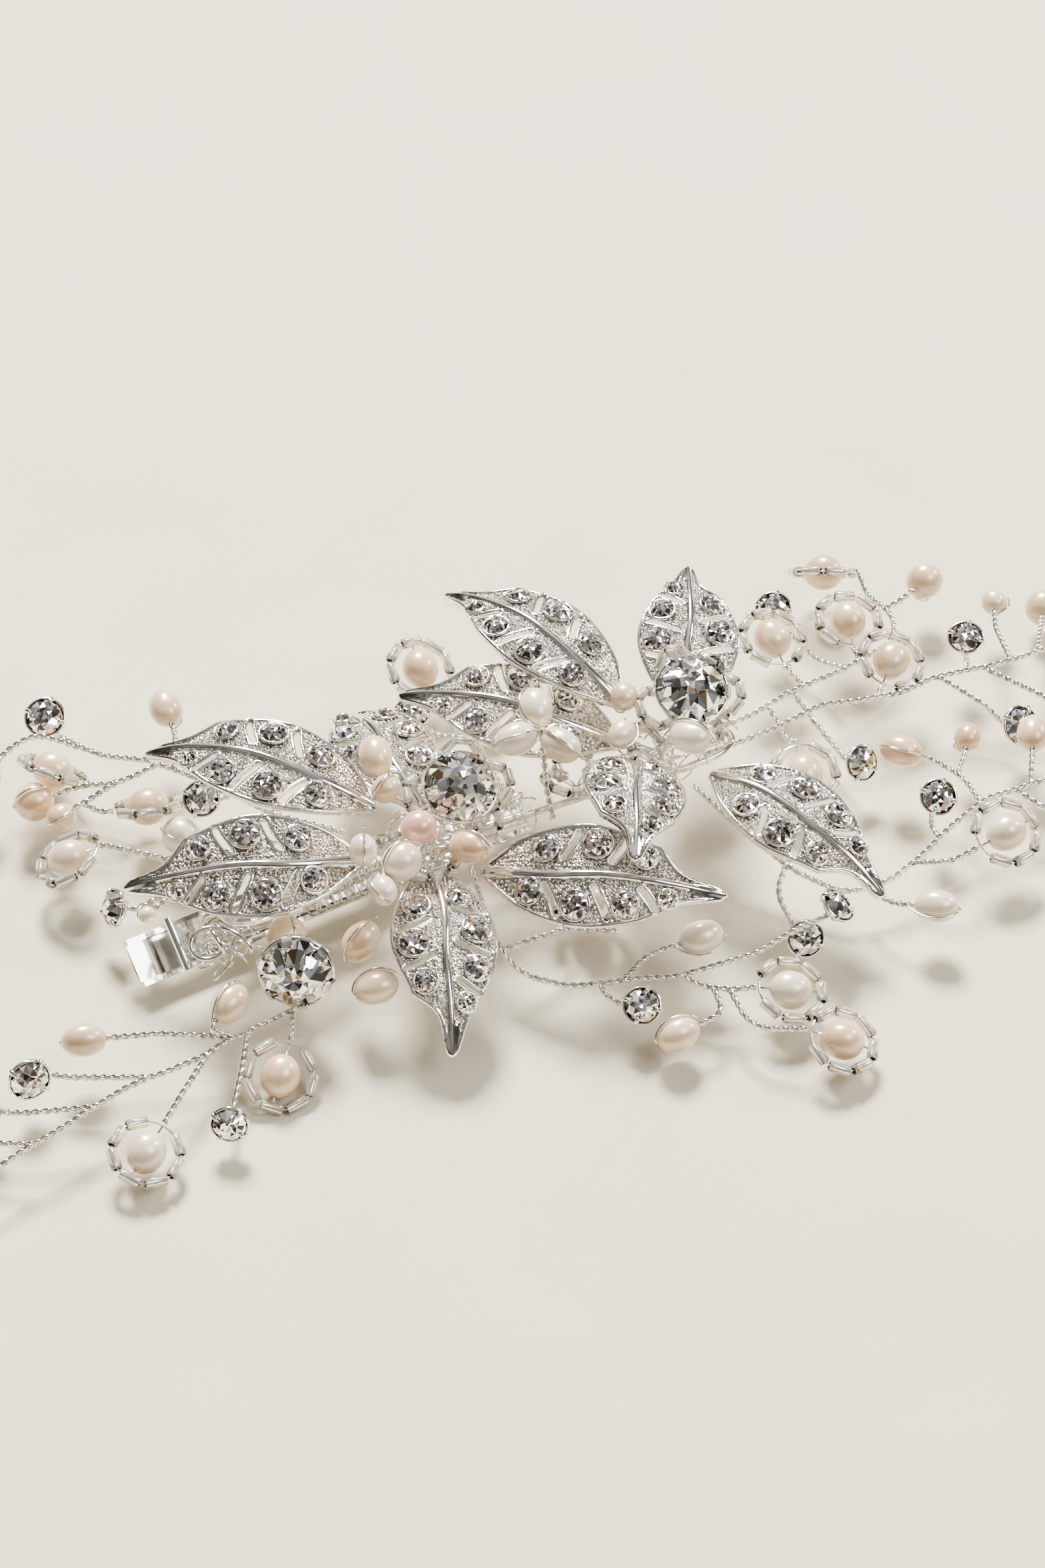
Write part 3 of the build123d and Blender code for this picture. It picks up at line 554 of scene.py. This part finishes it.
def strip(b, points, across, width, thick, mat):
    """A flat strip bent along the path, its width lying along across."""
    points = np.asarray(points, float)
    side = np.broadcast_to(normalised(across) * width / 2, points.shape)
    out = np.cross(np.gradient(points, axis=0), side)
    out *= thick / 2 / np.linalg.norm(out, axis=1)[:, None]
    corners = (side + out, out - side, -side - out, side - out)
    verts = np.stack([points + corner for corner in corners], axis=1)
    last = (len(points) - 1) * 4
    ends = [(3, 2, 1, 0), (last, last + 1, last + 2, last + 3)]
    b.add(verts.reshape(-1, 3), grid_faces(len(points), 4, True) + ends, mat, smooth=False)


def claw_setting(b, centre, rows, diameter, claws, flat=False):
    """An open cup of cut sheet round the stone: a belt, ribs below it and claws folded over the girdle."""
    r = diameter / 2
    thick = 0.3
    outer = [(0.3 * r, -0.62 * r - 0.34), (0.62 * r + thick, -0.44 * r - 0.1), (r + 0.3, -0.10 * r - 0.04),
             (r + 0.36, 0.02 * r), (r + 0.30, 0.1 * r), (r + 0.08, 0.1 * r)]
    verts, faces = lathe(outer, 32)
    b.add(placed(verts, centre, rows), faces, POLISHED)
    inner = [(r + 0.08, 0.1 * r), (r + 0.04, -0.06 * r), (0.2 * r, -0.62 * r)]
    verts, faces = lathe(inner, 32)
    b.add(placed(verts, centre, rows), faces, GILT)
    verts, faces = lathe([(0.0, -0.62 * r - 0.34), (0.3 * r, -0.62 * r - 0.34)], 32)
    b.add(placed(verts, centre, rows), faces, POLISHED)
    for k in range(claws):
        a = 2 * math.pi * (k + 0.5) / claws
        out = rows[0] * math.cos(a) + rows[1] * math.sin(a)
        up = rows[2]
        path = [centre + out * (0.75 * r + 0.3) - up * 0.34 * r, centre + out * (r + 0.32) - up * 0.05 * r,
                centre + out * (r + 0.22) + up * 0.16 * r, centre + out * (0.93 * r) + up * (0.16 * r + 0.22),
                centre + out * (0.80 * r) + up * (0.26 * r + 0.2)]
        if flat:
            path = [centre + out * (0.62 * r + 0.3) - up * 0.44 * r,
                    centre + out * (r + 0.42) - up * 0.05 * r,
                    centre + out * (r + 0.40) + up * 0.22 * r,
                    centre + out * (0.88 * r) + up * (0.34 * r + 0.2)]
            strip(b, resample(rounded(path, 2), 0.25), np.cross(up, out), 0.28 * r, 0.34, POLISHED)
        else:
            tube(b, resample(rounded(path, 2), 0.25), min(0.09 * r + 0.12, 0.42), POLISHED, sides=8)


def stone_frame(verts, tri):
    """Middle of the girdle, rows with the table's direction third, and the diameter of a turned stone."""
    centre, axes = surface_frame(verts, tri)
    axis = axes[2]
    height = (verts - centre) @ axis
    out = np.linalg.norm((verts - centre) - height[:, None] * axis, axis=1)
    girdle = height[out > 0.97 * out.max()].mean()
    if height.max() - girdle > girdle - height.min():
        axis, girdle = -axis, -girdle
    return centre + axis * girdle, basis(axis), 2 * out.max()


def bugle(b, centre, along, length, radius):
    rows = basis(along)
    h, r, bore = length / 2, radius, 0.5
    skin = [(bore, -h + 0.02), (r - 0.1, -h), (r, -h + 0.1), (r, h - 0.1), (r - 0.1, h), (bore, h - 0.02)]
    verts, faces = lathe(skin, 10)
    b.add(placed(verts, centre, rows), faces, GLASS)
    verts, faces = lathe([(bore, -h + 0.02), (bore, h - 0.02)], 10)
    b.add(placed(verts, centre, rows), faces, LINING)


# ---- sprays ------------------------------------------------------------------------------------------------
def spray_pieces(name):
    """The wires of one spray as twisted pairs, and its pearls with their wire loops."""
    wire_node, pearl_node = f"{name}_wire", f"{name}_pearls"
    wires = Builder()
    tips, crossings = [], []
    for verts, tri in islands(wire_node):
        centre, axes = surface_frame(verts, tri)
        reach = np.linalg.norm(verts - centre, axis=1)
        if reach.min() > RING_R - 3 * STRAND_R:
            tube(wires, circle(centre, basis(axes[2]), RING_R), STRAND_R, WIRE, closed=True)
        elif np.ptp((verts - centre) @ axes[1]) < 3 * STRAND_R:
            half = np.ptp((verts - centre) @ axes[0]) / 2
            tube(wires, [centre - axes[0] * half, centre, centre + axes[0] * half], STRAND_R, WIRE)
            crossings.append((centre, axes[0]))
        else:
            for path in centre_lines(verts, tri, TWIST_R):
                twisted(wires, path)
                tips += [(path[0], path[0] - path[1]), (path[-1], path[-1] - path[-2])]
    wires.object(f"{name}.wires", "wire", wire_node)
    pearls = Builder()
    for verts, tri in islands(pearl_node):
        centre = (verts.max(0) + verts.min(0)) / 2
        gaps = [np.linalg.norm(c - centre) for c, _ in crossings]
        threaded = bool(gaps) and min(gaps) < 1.2
        if threaded:
            along = crossings[int(np.argmin(gaps))][1]
        else:
            tip, way = min(tips, key=lambda t: np.linalg.norm(t[0] - centre))
            along = normalised(centre - tip)
        spread = (verts - centre) @ along
        wide = (verts - centre) - spread[:, None] * along
        length, diameter = np.ptp(spread), 2 * np.linalg.norm(wide, axis=1).max()
        kind = rng.choice((IVORY, IVORY, WHITE, PEACH))
        pearl(pearls, centre, along, length, diameter, kind, baroque=0.012, loop=not threaded)
    pearls.object(f"{name}.pearls", "pearl_ivory", pearl_node)


def side_pieces(side):
    """The twig crystals, their cups and the bugle beads of one side."""
    stones, cups, beads = Builder(), Builder(), Builder()
    for verts, tri in islands(f"{side}_crystals"):
        centre, rows, diameter = stone_frame(verts, tri)
        r = diameter / 2
        brilliant(stones, centre, rows, diameter * 0.98, -0.6 * r, 0.06 * r, 0.6 * r, CLEAR)
        claw_setting(cups, centre, rows, diameter, 4)
    stones.object(f"{side}.crystals", "crystal", f"{side}_crystals")
    cups.object(f"{side}.cups", "silver_plate", f"{side}_cups")
    for verts, tri in islands(f"{side}_bugles"):
        centre, axes = surface_frame(verts, tri)
        bugle(beads, centre, axes[0], np.ptp((verts - centre) @ axes[0]), BUGLE_SHOWN_R)
    beads.object(f"{side}.bugles", "bugle_glass", f"{side}_bugles")


def crown_pieces(name):
    verts, tri = islands(f"{name}_crystal")[0]
    centre, rows, diameter = stone_frame(verts, tri)
    r = diameter / 2
    crystal, setting = Builder(), Builder()
    brilliant(crystal, centre, rows, diameter * 1.02, -0.6 * r, 0.05 * r, 0.74 * r, CLEAR, fold=10, face=0.44)
    crystal.object(f"{name}.crystal", "crystal", f"{name}_crystal")
    claw_setting(setting, centre, rows, diameter, 6, flat=True)
    setting.object(f"{name}.setting", "silver_plate", f"{name}_setting")


# ---- leaves ------------------------------------------------------------------------------------------------
def curve(points, n=40):
    """Points along a smooth line through the given ones."""
    p = np.array([points[0], *points, points[-1]], float)
    p[0] = 2 * p[1] - p[2]
    p[-1] = 2 * p[-2] - p[-3]
    out = []
    for a, b, c, d in zip(p, p[1:], p[2:], p[3:]):
        for t in np.linspace(0, 1, n // (len(points) - 1) + 2)[:-1]:
            out.append(0.5 * (2 * b + (c - a) * t + (2 * a - 5 * b + 4 * c - d) * t**2
                              + (3 * b - a - 3 * c + d) * t**3))
    out.append(p[-2])
    return np.array(out)


LEAF_UPPER = curve(((0, 1.0), (6, 5.4), (14, 7.6), (22, 6.2), (28, 2.8), (33, 1.0)))
LEAF_HOLLOW = curve(((33, -1.0), (28, -1.9), (24.5, -5.2)), 16)
LEAF_LOWER = curve(((24.5, -5.2), (15, -7.4), (6, -5.2), (0, -1.0)))
LEAF_TIP = np.array(((33.5, 0.75), (33.9, 0.3), (34.0, 0.0), (33.9, -0.3), (33.5, -0.75)))
LEAF_EDGE = np.concatenate([LEAF_UPPER, LEAF_TIP, LEAF_HOLLOW, LEAF_LOWER[1:]])
LEAF_RIB = curve(((0.2, 0.0), (9, 0.55), (18, -0.1), (26, -0.05), (33.4, 0.0)))
LEAF_NIB = np.array(((29.6, 0.35), (31.5, 0.1), (33.2, 0.0)))
LEAF_SLOTS = [curve(s, 10) for s in (
    ((9.2, 2.0), (10.6, 4.2), (11.4, 6.0)), ((16.2, 1.8), (17.7, 4.4), (18.4, 5.9)),
    ((22.6, 1.4), (24.1, 3.0), (24.9, 4.0)), ((11.4, -2.0), (12.6, -4.2), (13.2, -5.9)),
    ((18.2, -2.0), (19.5, -4.2), (20.1, -5.7)))]


def to_line(p, line):
    """Distance of each point from a polyline."""
    best = np.full(len(p), 1e9)
    for a, b in zip(line, line[1:]):
        d = b - a
        t = np.clip(((p - a) @ d) / max(d @ d, 1e-12), 0, 1)
        best = np.minimum(best, np.linalg.norm(p - a - t[:, None] * d, axis=1))
    return best


def inside_edge(p):
    """How deep each flat point lies inside the leaf's edge; negative outside."""
    ring = np.concatenate([LEAF_EDGE, LEAF_EDGE[:1]])
    inside = np.zeros(len(p), bool)
    for (x0, y0), (x1, y1) in zip(ring, ring[1:]):
        if y0 != y1:
            crossing = x0 + (p[:, 1] - y0) * (x1 - x0) / (y1 - y0)
            inside ^= ((p[:, 1] > y0) != (p[:, 1] > y1)) & (p[:, 0] < crossing)
    return np.where(inside, 1, -1) * to_line(p, ring)


def solid_depth(p):
    """Depth inside the metal: away from the edge and from the slots."""
    depth = inside_edge(p)
    for line in LEAF_SLOTS:
        depth = np.minimum(depth, to_line(p, line) - SLOT_HALF)
    return depth


def flat_leaf():
    """The leaf's grid with its edges drawn onto the outline: flat points, quads, top heights, face kinds."""
    xs = np.arange(-0.4, 34.6, LEAF_CELL)
    ys = np.arange(-8.0, 8.2, LEAF_CELL)
    p = np.stack(np.meshgrid(xs, ys, indexing="ij"), axis=2).reshape(-1, 2)
    for _ in range(2):
        depth = solid_depth(p)
        near = np.abs(depth) < 0.62 * LEAF_CELL
        e = 0.02
        slope = np.stack([solid_depth(p + (e, 0)) - solid_depth(p - (e, 0)),
                          solid_depth(p + (0, e)) - solid_depth(p - (0, e))], axis=1) / (2 * e)
        size = np.maximum((slope**2).sum(1), 0.3)
        p = np.where(near[:, None], p - slope * (depth / size)[:, None], p)
    depth = solid_depth(p)
    keep = depth > -0.03
    quads = [q for q in grid_faces(len(xs), len(ys), False) if keep[list(q)].all()]
    used = np.unique(np.array(quads))
    at = np.zeros(len(p), dtype=int)
    at[used] = np.arange(len(used))
    quads = [tuple(at[list(q)]) for q in quads]
    p, depth = p[used], depth[used]
    edge, rib = inside_edge(p), to_line(p, LEAF_RIB)
    slot = np.min([to_line(p, line) - SLOT_HALF for line in LEAF_SLOTS], axis=0)
    rib_half = np.interp(p[:, 0], (0, 9, 20, 33), (0.75, 0.6, 0.5, 0.45))

    def ridge(distance, middle, half, height):
        return height * np.sqrt(np.clip(1 - ((distance - middle) / half) ** 2, 0, 1))

    top = 0.18 * np.minimum(np.maximum(depth, 0), 1.0) - 0.22
    top = np.maximum(top, ridge(edge, 0.34, 0.36, 0.42) - 0.12)
    top = np.maximum(top, ridge(slot, 0.22, 0.26, 0.34) - 0.12)
    top = np.maximum(top, ridge(rib, 0.0, 1.25 * rib_half, 0.66) - 0.14)
    nib = to_line(p, LEAF_NIB)
    top = np.maximum(top, ridge(nib, 0.0, 0.95, 0.5) - 0.12)
    bright = (edge < 0.72) | (slot < 0.5) | (rib < rib_half * 1.2) | (nib < 1.0)
    return p, quads, top, bright


FLAT, QUADS, TOP, BRIGHT = flat_leaf()
GRAINS = []
for gx in np.arange(1.2, 32.6, GRAIN_STEP):
    for gy in np.arange(-7.2, 7.6, GRAIN_STEP):
        GRAINS.append((gx + rng.uniform(-0.16, 0.16), gy + rng.uniform(-0.16, 0.16)))
GRAINS = np.array(GRAINS)
GRAINS = GRAINS[(inside_edge(GRAINS) > 0.75) & (to_line(GRAINS, LEAF_RIB) > 0.85)
                & (np.min([to_line(GRAINS, line) for line in LEAF_SLOTS], axis=0) > 0.95)]
for sx, sy, sd in LEAF_STONES:
    GRAINS = GRAINS[np.hypot(GRAINS[:, 0] - sx, GRAINS[:, 1] - sy) > sd / 2 + 0.2]


def fit(flat, real):
    """The rotation rows and shift that carry flat points onto real ones, and the misfit."""
    a, b = flat - flat.mean(0), real - real.mean(0)
    u, _, v = np.linalg.svd(a.T @ b)
    turn = u @ np.diag((1, 1, np.sign(np.linalg.det(u @ v)))) @ v
    shift = real.mean(0) - flat.mean(0) @ turn
    return turn, shift, np.abs(flat @ turn + shift - real).max()


def dome(p, height, stretch, bow):
    """Flat leaf points at a height over its bowed upper face, in the leaf's own frame."""
    half = LEAF_LENGTH * stretch / 2
    drop = math.sqrt(bow**2 - half**2)
    x, y = (p[:, 0] - LEAF_LENGTH / 2) * stretch, p[:, 1]
    z = np.sqrt(np.maximum((bow + LEAF_THICKNESS) ** 2 - x**2 - y**2, 1.0))
    out = np.stack([x, y, z], axis=1)
    out *= 1 + (height / (bow + LEAF_THICKNESS))[:, None]
    return out + (half, 0, -drop)


def leaf_shape(name):
    """Where the CAD leaf lies, read off its seven stones: rotation, shift, stretch, bow and hand."""
    found = islands(f"{name}_stones")
    seats, sizes = [], []
    for verts, tri in found:
        seats.append(surface_frame(verts, tri)[0])
        sizes.append(np.ptp(verts @ surface_frame(verts, tri)[1][0]))
    seats, sizes = np.array(seats), np.array(sizes)
    centre = seats.mean(0)
    axis = np.linalg.svd(seats - centre)[2][0]
    if (seats[sizes.argmin()] - centre) @ axis < 0:
        axis = -axis
    seats = seats[np.argsort((seats - centre) @ axis)]
    flat = np.array([(x, y) for x, y, _ in LEAF_STONES])
    best = None
    for hand in (1, -1):
        for stretch in np.arange(0.7, 1.12, 0.005):
            for bow in np.arange(23, 30, 0.5):
                own = dome(flat * (1, hand), np.full(len(flat), STONE_RISE), stretch, bow)
                turn, shift, miss = fit(own, seats)
                if best is None or miss < best[0]:
                    best = (miss, turn, shift, stretch, bow, hand)
    print(f"{name}: misfit {best[0]:.3f} mm, stretch {best[3]:.3f}, bow {best[4]}, hand {best[5]}")
    return best[1:]


def small_ball(radius):
    verts, faces = lathe([(radius * math.sin(a), radius * math.cos(a)) for a in (0.02, 0.6, 1.15, 1.65)], 7)
    return np.array(verts), [f[::-1] for f in faces]


def leaf_pieces(name):
    turn, shift, stretch, bow, hand = leaf_shape(name)

    def out(p, height):
        return dome(np.asarray(p, float) * (1, hand), np.broadcast_to(np.asarray(height, float), len(p)),
                    stretch, bow) @ turn + shift

    plate = Builder()
    n = len(FLAT)
    both = np.concatenate([out(FLAT, TOP), out(FLAT, -LEAF_THICKNESS)])
    tops = [q[::-1] if hand < 0 else q for q in QUADS]
    count = {}
    for q in tops:
        for a, b in zip(q, q[1:] + q[:1]):
            count[(a, b)] = count.get((a, b), 0) + 1
    walls = [(b, a, a + n, b + n) for a, b in count if (b, a) not in count]
    bright = [q for q, s in zip(tops, QUADS) if BRIGHT[list(s)].mean() > 0.5]
    # the recessed field takes the granular silver, darkened as painted shade
    shaded_field = [q for q, s in zip(tops, QUADS) if BRIGHT[list(s)].mean() <= 0.5]
    base = plate.add(both, bright, POLISHED)
    plate.add_faces(base, shaded_field, SHADED_GRANULAR)
    plate.add_faces(base, walls, POLISHED)
    plate.add_faces(base, [tuple(i + n for i in q[::-1]) for q in tops], POLISHED)
    ball, ball_faces = small_ball(0.3)
    here = out(GRAINS, -0.1)
    above = out(GRAINS, 0.4)
    for at, high in zip(here, above):
        plate.add(placed(ball * rng.uniform(0.6, 1.05), at, basis(high - at)), ball_faces, POLISHED)
    stones = Builder()
    for x, y, d in LEAF_STONES:
        seat, high = out([(x, y)], 0.0)[0], out([(x, y)], 1.0)[0]
        rows = basis(high - seat, turn[0])
        brilliant(stones, seat, rows, d * 0.96, -0.2, 0.5, 1.28, GREY)
        tube(plate, circle(seat + rows[2] * 0.3, rows, d / 2 + 0.1, 24), 0.24, POLISHED, closed=True)
        for k in range(4):
            a = math.pi / 4 + k * math.pi / 2
            claw = seat + (rows[0] * math.cos(a) + rows[1] * math.sin(a)) * (d / 2 - 0.02) + rows[2] * 0.52
            plate.add(placed(ball, claw, rows), ball_faces, POLISHED)
    plate.object(f"{name}.plate", "silver_plate", name)
    stones.object(f"{name}.stones", "crystal", f"{name}_stones")


# ---- the pieces --------------------------------------------------------------------------------------------
def oval_pearls(name, slot, kinds, baroque):
    """The pearls of one node, with their kinds given in order along the headpiece."""
    b = Builder()
    for k, (verts, tri) in enumerate(sorted(islands(name), key=lambda p: p[0][:, 0].mean())):
        axes = surface_frame(verts, tri)[1]
        centre = (verts.max(0) + verts.min(0)) / 2
        spread = (verts - centre) @ axes[0]
        wide = (verts - centre) - spread[:, None] * axes[0]
        diameter = 2 * np.linalg.norm(wide, axis=1).max()
        pearl(b, centre, axes[0], np.ptp(spread), diameter, kinds[k % len(kinds)], baroque=baroque)
    b.object(f"{name}.pearls", slot, name)


SPRAYS = ("front_left_spray", "front_middle_spray", "front_right_spray", "right_end_spray",
          "back_right_spray", "back_middle_spray", "back_left_spray", "left_side_spray")
for spray in SPRAYS:
    spray_pieces(spray)
for side in ("left", "right"):
    side_pieces(side)
    for number in range(1, 6):
        leaf_pieces(f"{side}_leaf_{number}")
for crown in ("left_crown", "side", "right_crown"):
    crown_pieces(crown)
oval_pearls("left_flower_pearls", "pearl_ivory",
            (IVORY, IVORY, PEACH, WHITE, WHITE, WHITE, PEACH, PEACH, PEACH), 0.02)
oval_pearls("right_flower_pearls", "pearl_ivory", (WHITE, IVORY), 0.03)
oval_pearls("trefoil_pearls", "pearl_ivory", (WHITE,), 0.012)
oval_pearls("left_flower_pink_pearl", "pearl_pink", (PINK,), 0.01)

stalk = Builder()
for verts, tri in islands("trefoil_stalk"):
    for path in centre_lines(verts, tri, TWIST_R):
        twisted(stalk, path)
stalk.object("trefoil.stalk", "wire", "trefoil_stalk")


def middle_of(name):
    """The middle of a CAD node's box, in millimetres."""
    return (np.array(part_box(name)[0]) + np.array(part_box(name)[1])) / 2 / MM


def core_winding(b, inset=13.0, pitch=0.62, radius=0.8):
    """Fine wire wound close along the core between the flowers and past them."""
    verts, _ = mesh_of("core_wire")
    low, high = verts[:, 0].min() + inset, verts[:, 0].max() - inset
    stations = np.arange(low, high, 1.5)
    middles = np.array([verts[np.abs(verts[:, 0] - x) < 3.0].mean(0) for x in stations])
    x = np.arange(low, high, pitch / 8)
    line = np.stack([x, np.interp(x, stations, middles[:, 1]), np.interp(x, stations, middles[:, 2])], axis=1)
    phase = x * 2 * math.pi / pitch
    tube(b, line + radius * np.stack([0 * x, np.cos(phase), np.sin(phase)], axis=1), STRAND_R, WIRE, sides=5)


def nest(b, spot, spread, count, radius=STRAND_R, size=(1.3, 3.0)):
    """Loose turns of wire, in a lump where stems are bound on."""
    for _ in range(count):
        centre = spot + np.array([rng.uniform(-w, w) for w in spread])
        rows = basis([rng.uniform(-1, 1), rng.uniform(-0.6, 0.6), rng.uniform(-0.5, 0.5)])
        turn = np.linspace(0, rng.uniform(3.5, 6.0), 26)
        wide, tall = rng.uniform(*size), rng.uniform(*size) * 0.75
        loop = np.stack([wide * np.cos(turn), tall * np.sin(turn), rng.uniform(-0.3, 0.3) * turn], axis=1)
        tube(b, placed(loop, centre, rows), radius, WIRE, sides=6)


def bead_fan(b, centre, rows, drop, reach, arcs):
    """Loops of bugle beads that stand out from under a large crystal, one at each angle of arcs."""
    foot = centre - rows[2] * (drop + 2)
    for angle, width, count in arcs:
        way = np.array((math.cos(math.radians(angle)), math.sin(math.radians(angle)), 0.0))
        way = normalised(way - rows[2] * (way @ rows[2]))
        side = np.cross(rows[2], way)
        heart = centre - rows[2] * drop + way * reach
        loop = [heart + way * 2.8 * math.cos(t) + side * width * math.sin(t) + rows[2] * 1.5 * math.cos(t)
                for t in np.linspace(-2.3, 2.3, count)]
        for p, q in zip(loop, loop[1:]):
            bugle(b, (p + q) / 2, q - p, min(2.6, np.linalg.norm(q - p) * 0.9), 0.75)
        tube(b, resample(rounded([foot, *loop, foot]), 0.4), STRAND_R, WIRE, sides=5)


bound, fans = Builder(), Builder()
core_winding(bound)
left_heart, right_heart = middle_of("left_crown_setting"), middle_of("right_crown_setting")
lip = np.array(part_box("clip_upper_jaw")[0]) / MM
lip = np.array((lip[0], middle_of("clip_upper_jaw")[1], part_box("clip_upper_jaw")[1][2] / MM))
beside_lip = lip + 0.45 * (middle_of("side_setting") - lip)
nest(bound, left_heart + (-6, 0, -8), (7, 3.5, 2.0), 26)
nest(bound, left_heart + (-20, 2, -9), (6, 2.0, 1.4), 16)
nest(bound, left_heart + (6, -1, -8), (5, 2.5, 1.6), 10)
nest(bound, left_heart + (-10, -4, -5), (4.5, 3.5, 1.2), 18)
nest(bound, right_heart + (-4, 0, -11.5), (6, 3.0, 1.6), 22)
nest(bound, right_heart + (-7, 0, -7), (4, 3.5, 1.2), 14)
nest(bound, right_heart + (5, 2, -12), (4, 2.5, 1.4), 12)
nest(bound, beside_lip, (3.2, 2.0, 1.0), 14)
nest(bound, beside_lip + (0, 0, 0.5), (2.2, 1.2, 0.6), 4, radius=0.36, size=(2.2, 3.2))
bound.object("bound.wires", "wire")
for crown, drop, arcs in (("left_crown", 3.0, ((-10, 3.0, 6), (160, 3.0, 6), (60, 2.8, 6), (-75, 2.4, 5))),
                          ("right_crown", 3.4, ((-20, 3.0, 6), (170, 3.0, 6), (-95, 2.6, 6), (80, 2.6, 6)))):
    centre, rows, _ = stone_frame(*islands(f"{crown}_crystal")[0])
    bead_fan(fans, centre, rows, drop, 5.0, arcs)
between = 0.5 * (left_heart + right_heart) - (0, 0, 7)
for heart, arcs in ((between, ((-40, 2.6, 6), (70, 2.6, 6), (180, 2.4, 6))),
                    (left_heart + (-9, -6, -4), ((-130, 2.6, 6), (-30, 2.4, 5))),
                    (right_heart + (-7, -3, -5), ((-150, 2.6, 6), (120, 2.6, 6)))):
    bead_fan(fans, heart, basis(UP), 0.5, 2.4, arcs)
fans.object("flower.bugles", "bugle_glass")

for name, mat, slot in (("core_wire", WIRE, "wire"), ("binding_wire", WIRE, "wire"),
                        ("clip_lower_jaw", CHROME, "clip_plate"), ("clip_upper_jaw", CHROME, "clip_plate"),
                        ("clip_hinge_pin", CHROME, "clip_plate"), ("clip_spring", STEEL, "spring_steel")):
    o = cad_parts[name]
    o.data.materials.clear()
    o.data.materials.append(mat)
    o.data.shade_smooth() if "wire" in name or "spring" in name else o.data.shade_flat()
    if name in ("clip_lower_jaw", "clip_upper_jaw"):
        edge = o.modifiers.new("edges", "BEVEL")
        edge.width, edge.segments, edge.limit_method = 0.12 * MM, 2, "ANGLE"

# ---- floor, light and camera -------------------------------------------------------------------------------
floor_mat = material("floor", (0.64, 0.59, 0.475), roughness=0.95, Specular_IOR_Level=0.1)
varied(floor_mat, 30, (0.63, 0.58, 0.465), (0.65, 0.605, 0.49))
bpy.ops.mesh.primitive_plane_add(size=6, location=(0, 0, 0))
floor = bpy.context.object
floor.name = "floor"
floor.data.materials.append(floor_mat)


def area_light(name, place, aim, size, power, colour):
    data = bpy.data.lights.new(name, "AREA")
    data.shape = "DISK"
    data.size, data.energy, data.color = size, power, colour
    o = bpy.data.objects.new(name, data)
    bpy.context.scene.collection.objects.link(o)
    o.location = place
    o.rotation_euler = (Vector(aim) - Vector(place)).to_track_quat("-Z", "Y").to_euler()
    return o


area_light("window", (0.75, 1.86, 2.16), (0, 0, 0), 0.9, 430, (1.0, 0.965, 0.90))
area_light("side", (2.7, -0.15, 1.5), (0, 0, 0), 0.6, 54, (1.0, 0.96, 0.90))
area_light("front", (1.26, -1.80, 2.64), (0, 0, 0), 1.8, 80, (1.0, 0.97, 0.93))

# a room that is dark low down and has pale and dark walls, for the metal to mirror
world = bpy.data.worlds.new("studio")
bpy.context.scene.world = world
world.use_nodes = True
background = world.node_tree.nodes["Background"]
direction = node(world, "ShaderNodeTexCoord").outputs["Generated"]
split = node(world, "ShaderNodeSeparateXYZ")
link(world, direction, split.inputs[0])
height = ramp(world, split.outputs["Z"], [(0.0, (0.80, 0.78, 0.74)), (0.10, (0.60, 0.58, 0.54)),
                                          (0.22, (0.06, 0.05, 0.04)), (0.95, (0.66, 0.63, 0.59))])
clouds = node(world, "ShaderNodeTexNoise", Scale=2.6, Detail=1.0)
link(world, direction, clouds.inputs["Vector"])
patches = ramp(world, clouds.outputs["Fac"], [(0.40, (0.28, 0.26, 0.24)), (0.55, (1.0, 1.0, 1.0))])
walls_colour = vector_math(world, "MULTIPLY", height.outputs["Color"], patches.outputs["Color"])
towards_window = node(world, "ShaderNodeVectorMath", operation="DOT_PRODUCT")
link(world, direction, towards_window.inputs[0])
towards_window.inputs[1].default_value = (0.28, 0.66, 0.70)
glow = ramp(world, towards_window.outputs["Value"], [(0.78, (0, 0, 0)), (0.95, (1.0, 0.98, 0.94))])
link(world, vector_math(world, "ADD", walls_colour, glow.outputs["Color"]), background.inputs["Color"])
background.inputs["Strength"].default_value = 0.8

LENS, AZIMUTH, ELEVATION, DISTANCE = 100, -30.0, 44.2, 0.638
AIM = Vector((7.8, 16.3, 0.3)) * MM  # the point the camera aims at, given in the frame's coordinates
a, e = math.radians(AZIMUTH), math.radians(ELEVATION)
back = Vector((math.sin(a) * math.cos(e), -math.cos(a) * math.cos(e), math.sin(e)))
camera_data = bpy.data.cameras.new("camera")
camera_data.lens, camera_data.sensor_width = LENS, 36
camera_data.clip_start, camera_data.clip_end = 0.01, 20
camera = bpy.data.objects.new("camera", camera_data)
bpy.context.scene.collection.objects.link(camera)
camera.location = AIM + back * DISTANCE
camera.rotation_euler = (-back).to_track_quat("-Z", "Y").to_euler()
bpy.context.scene.camera = camera
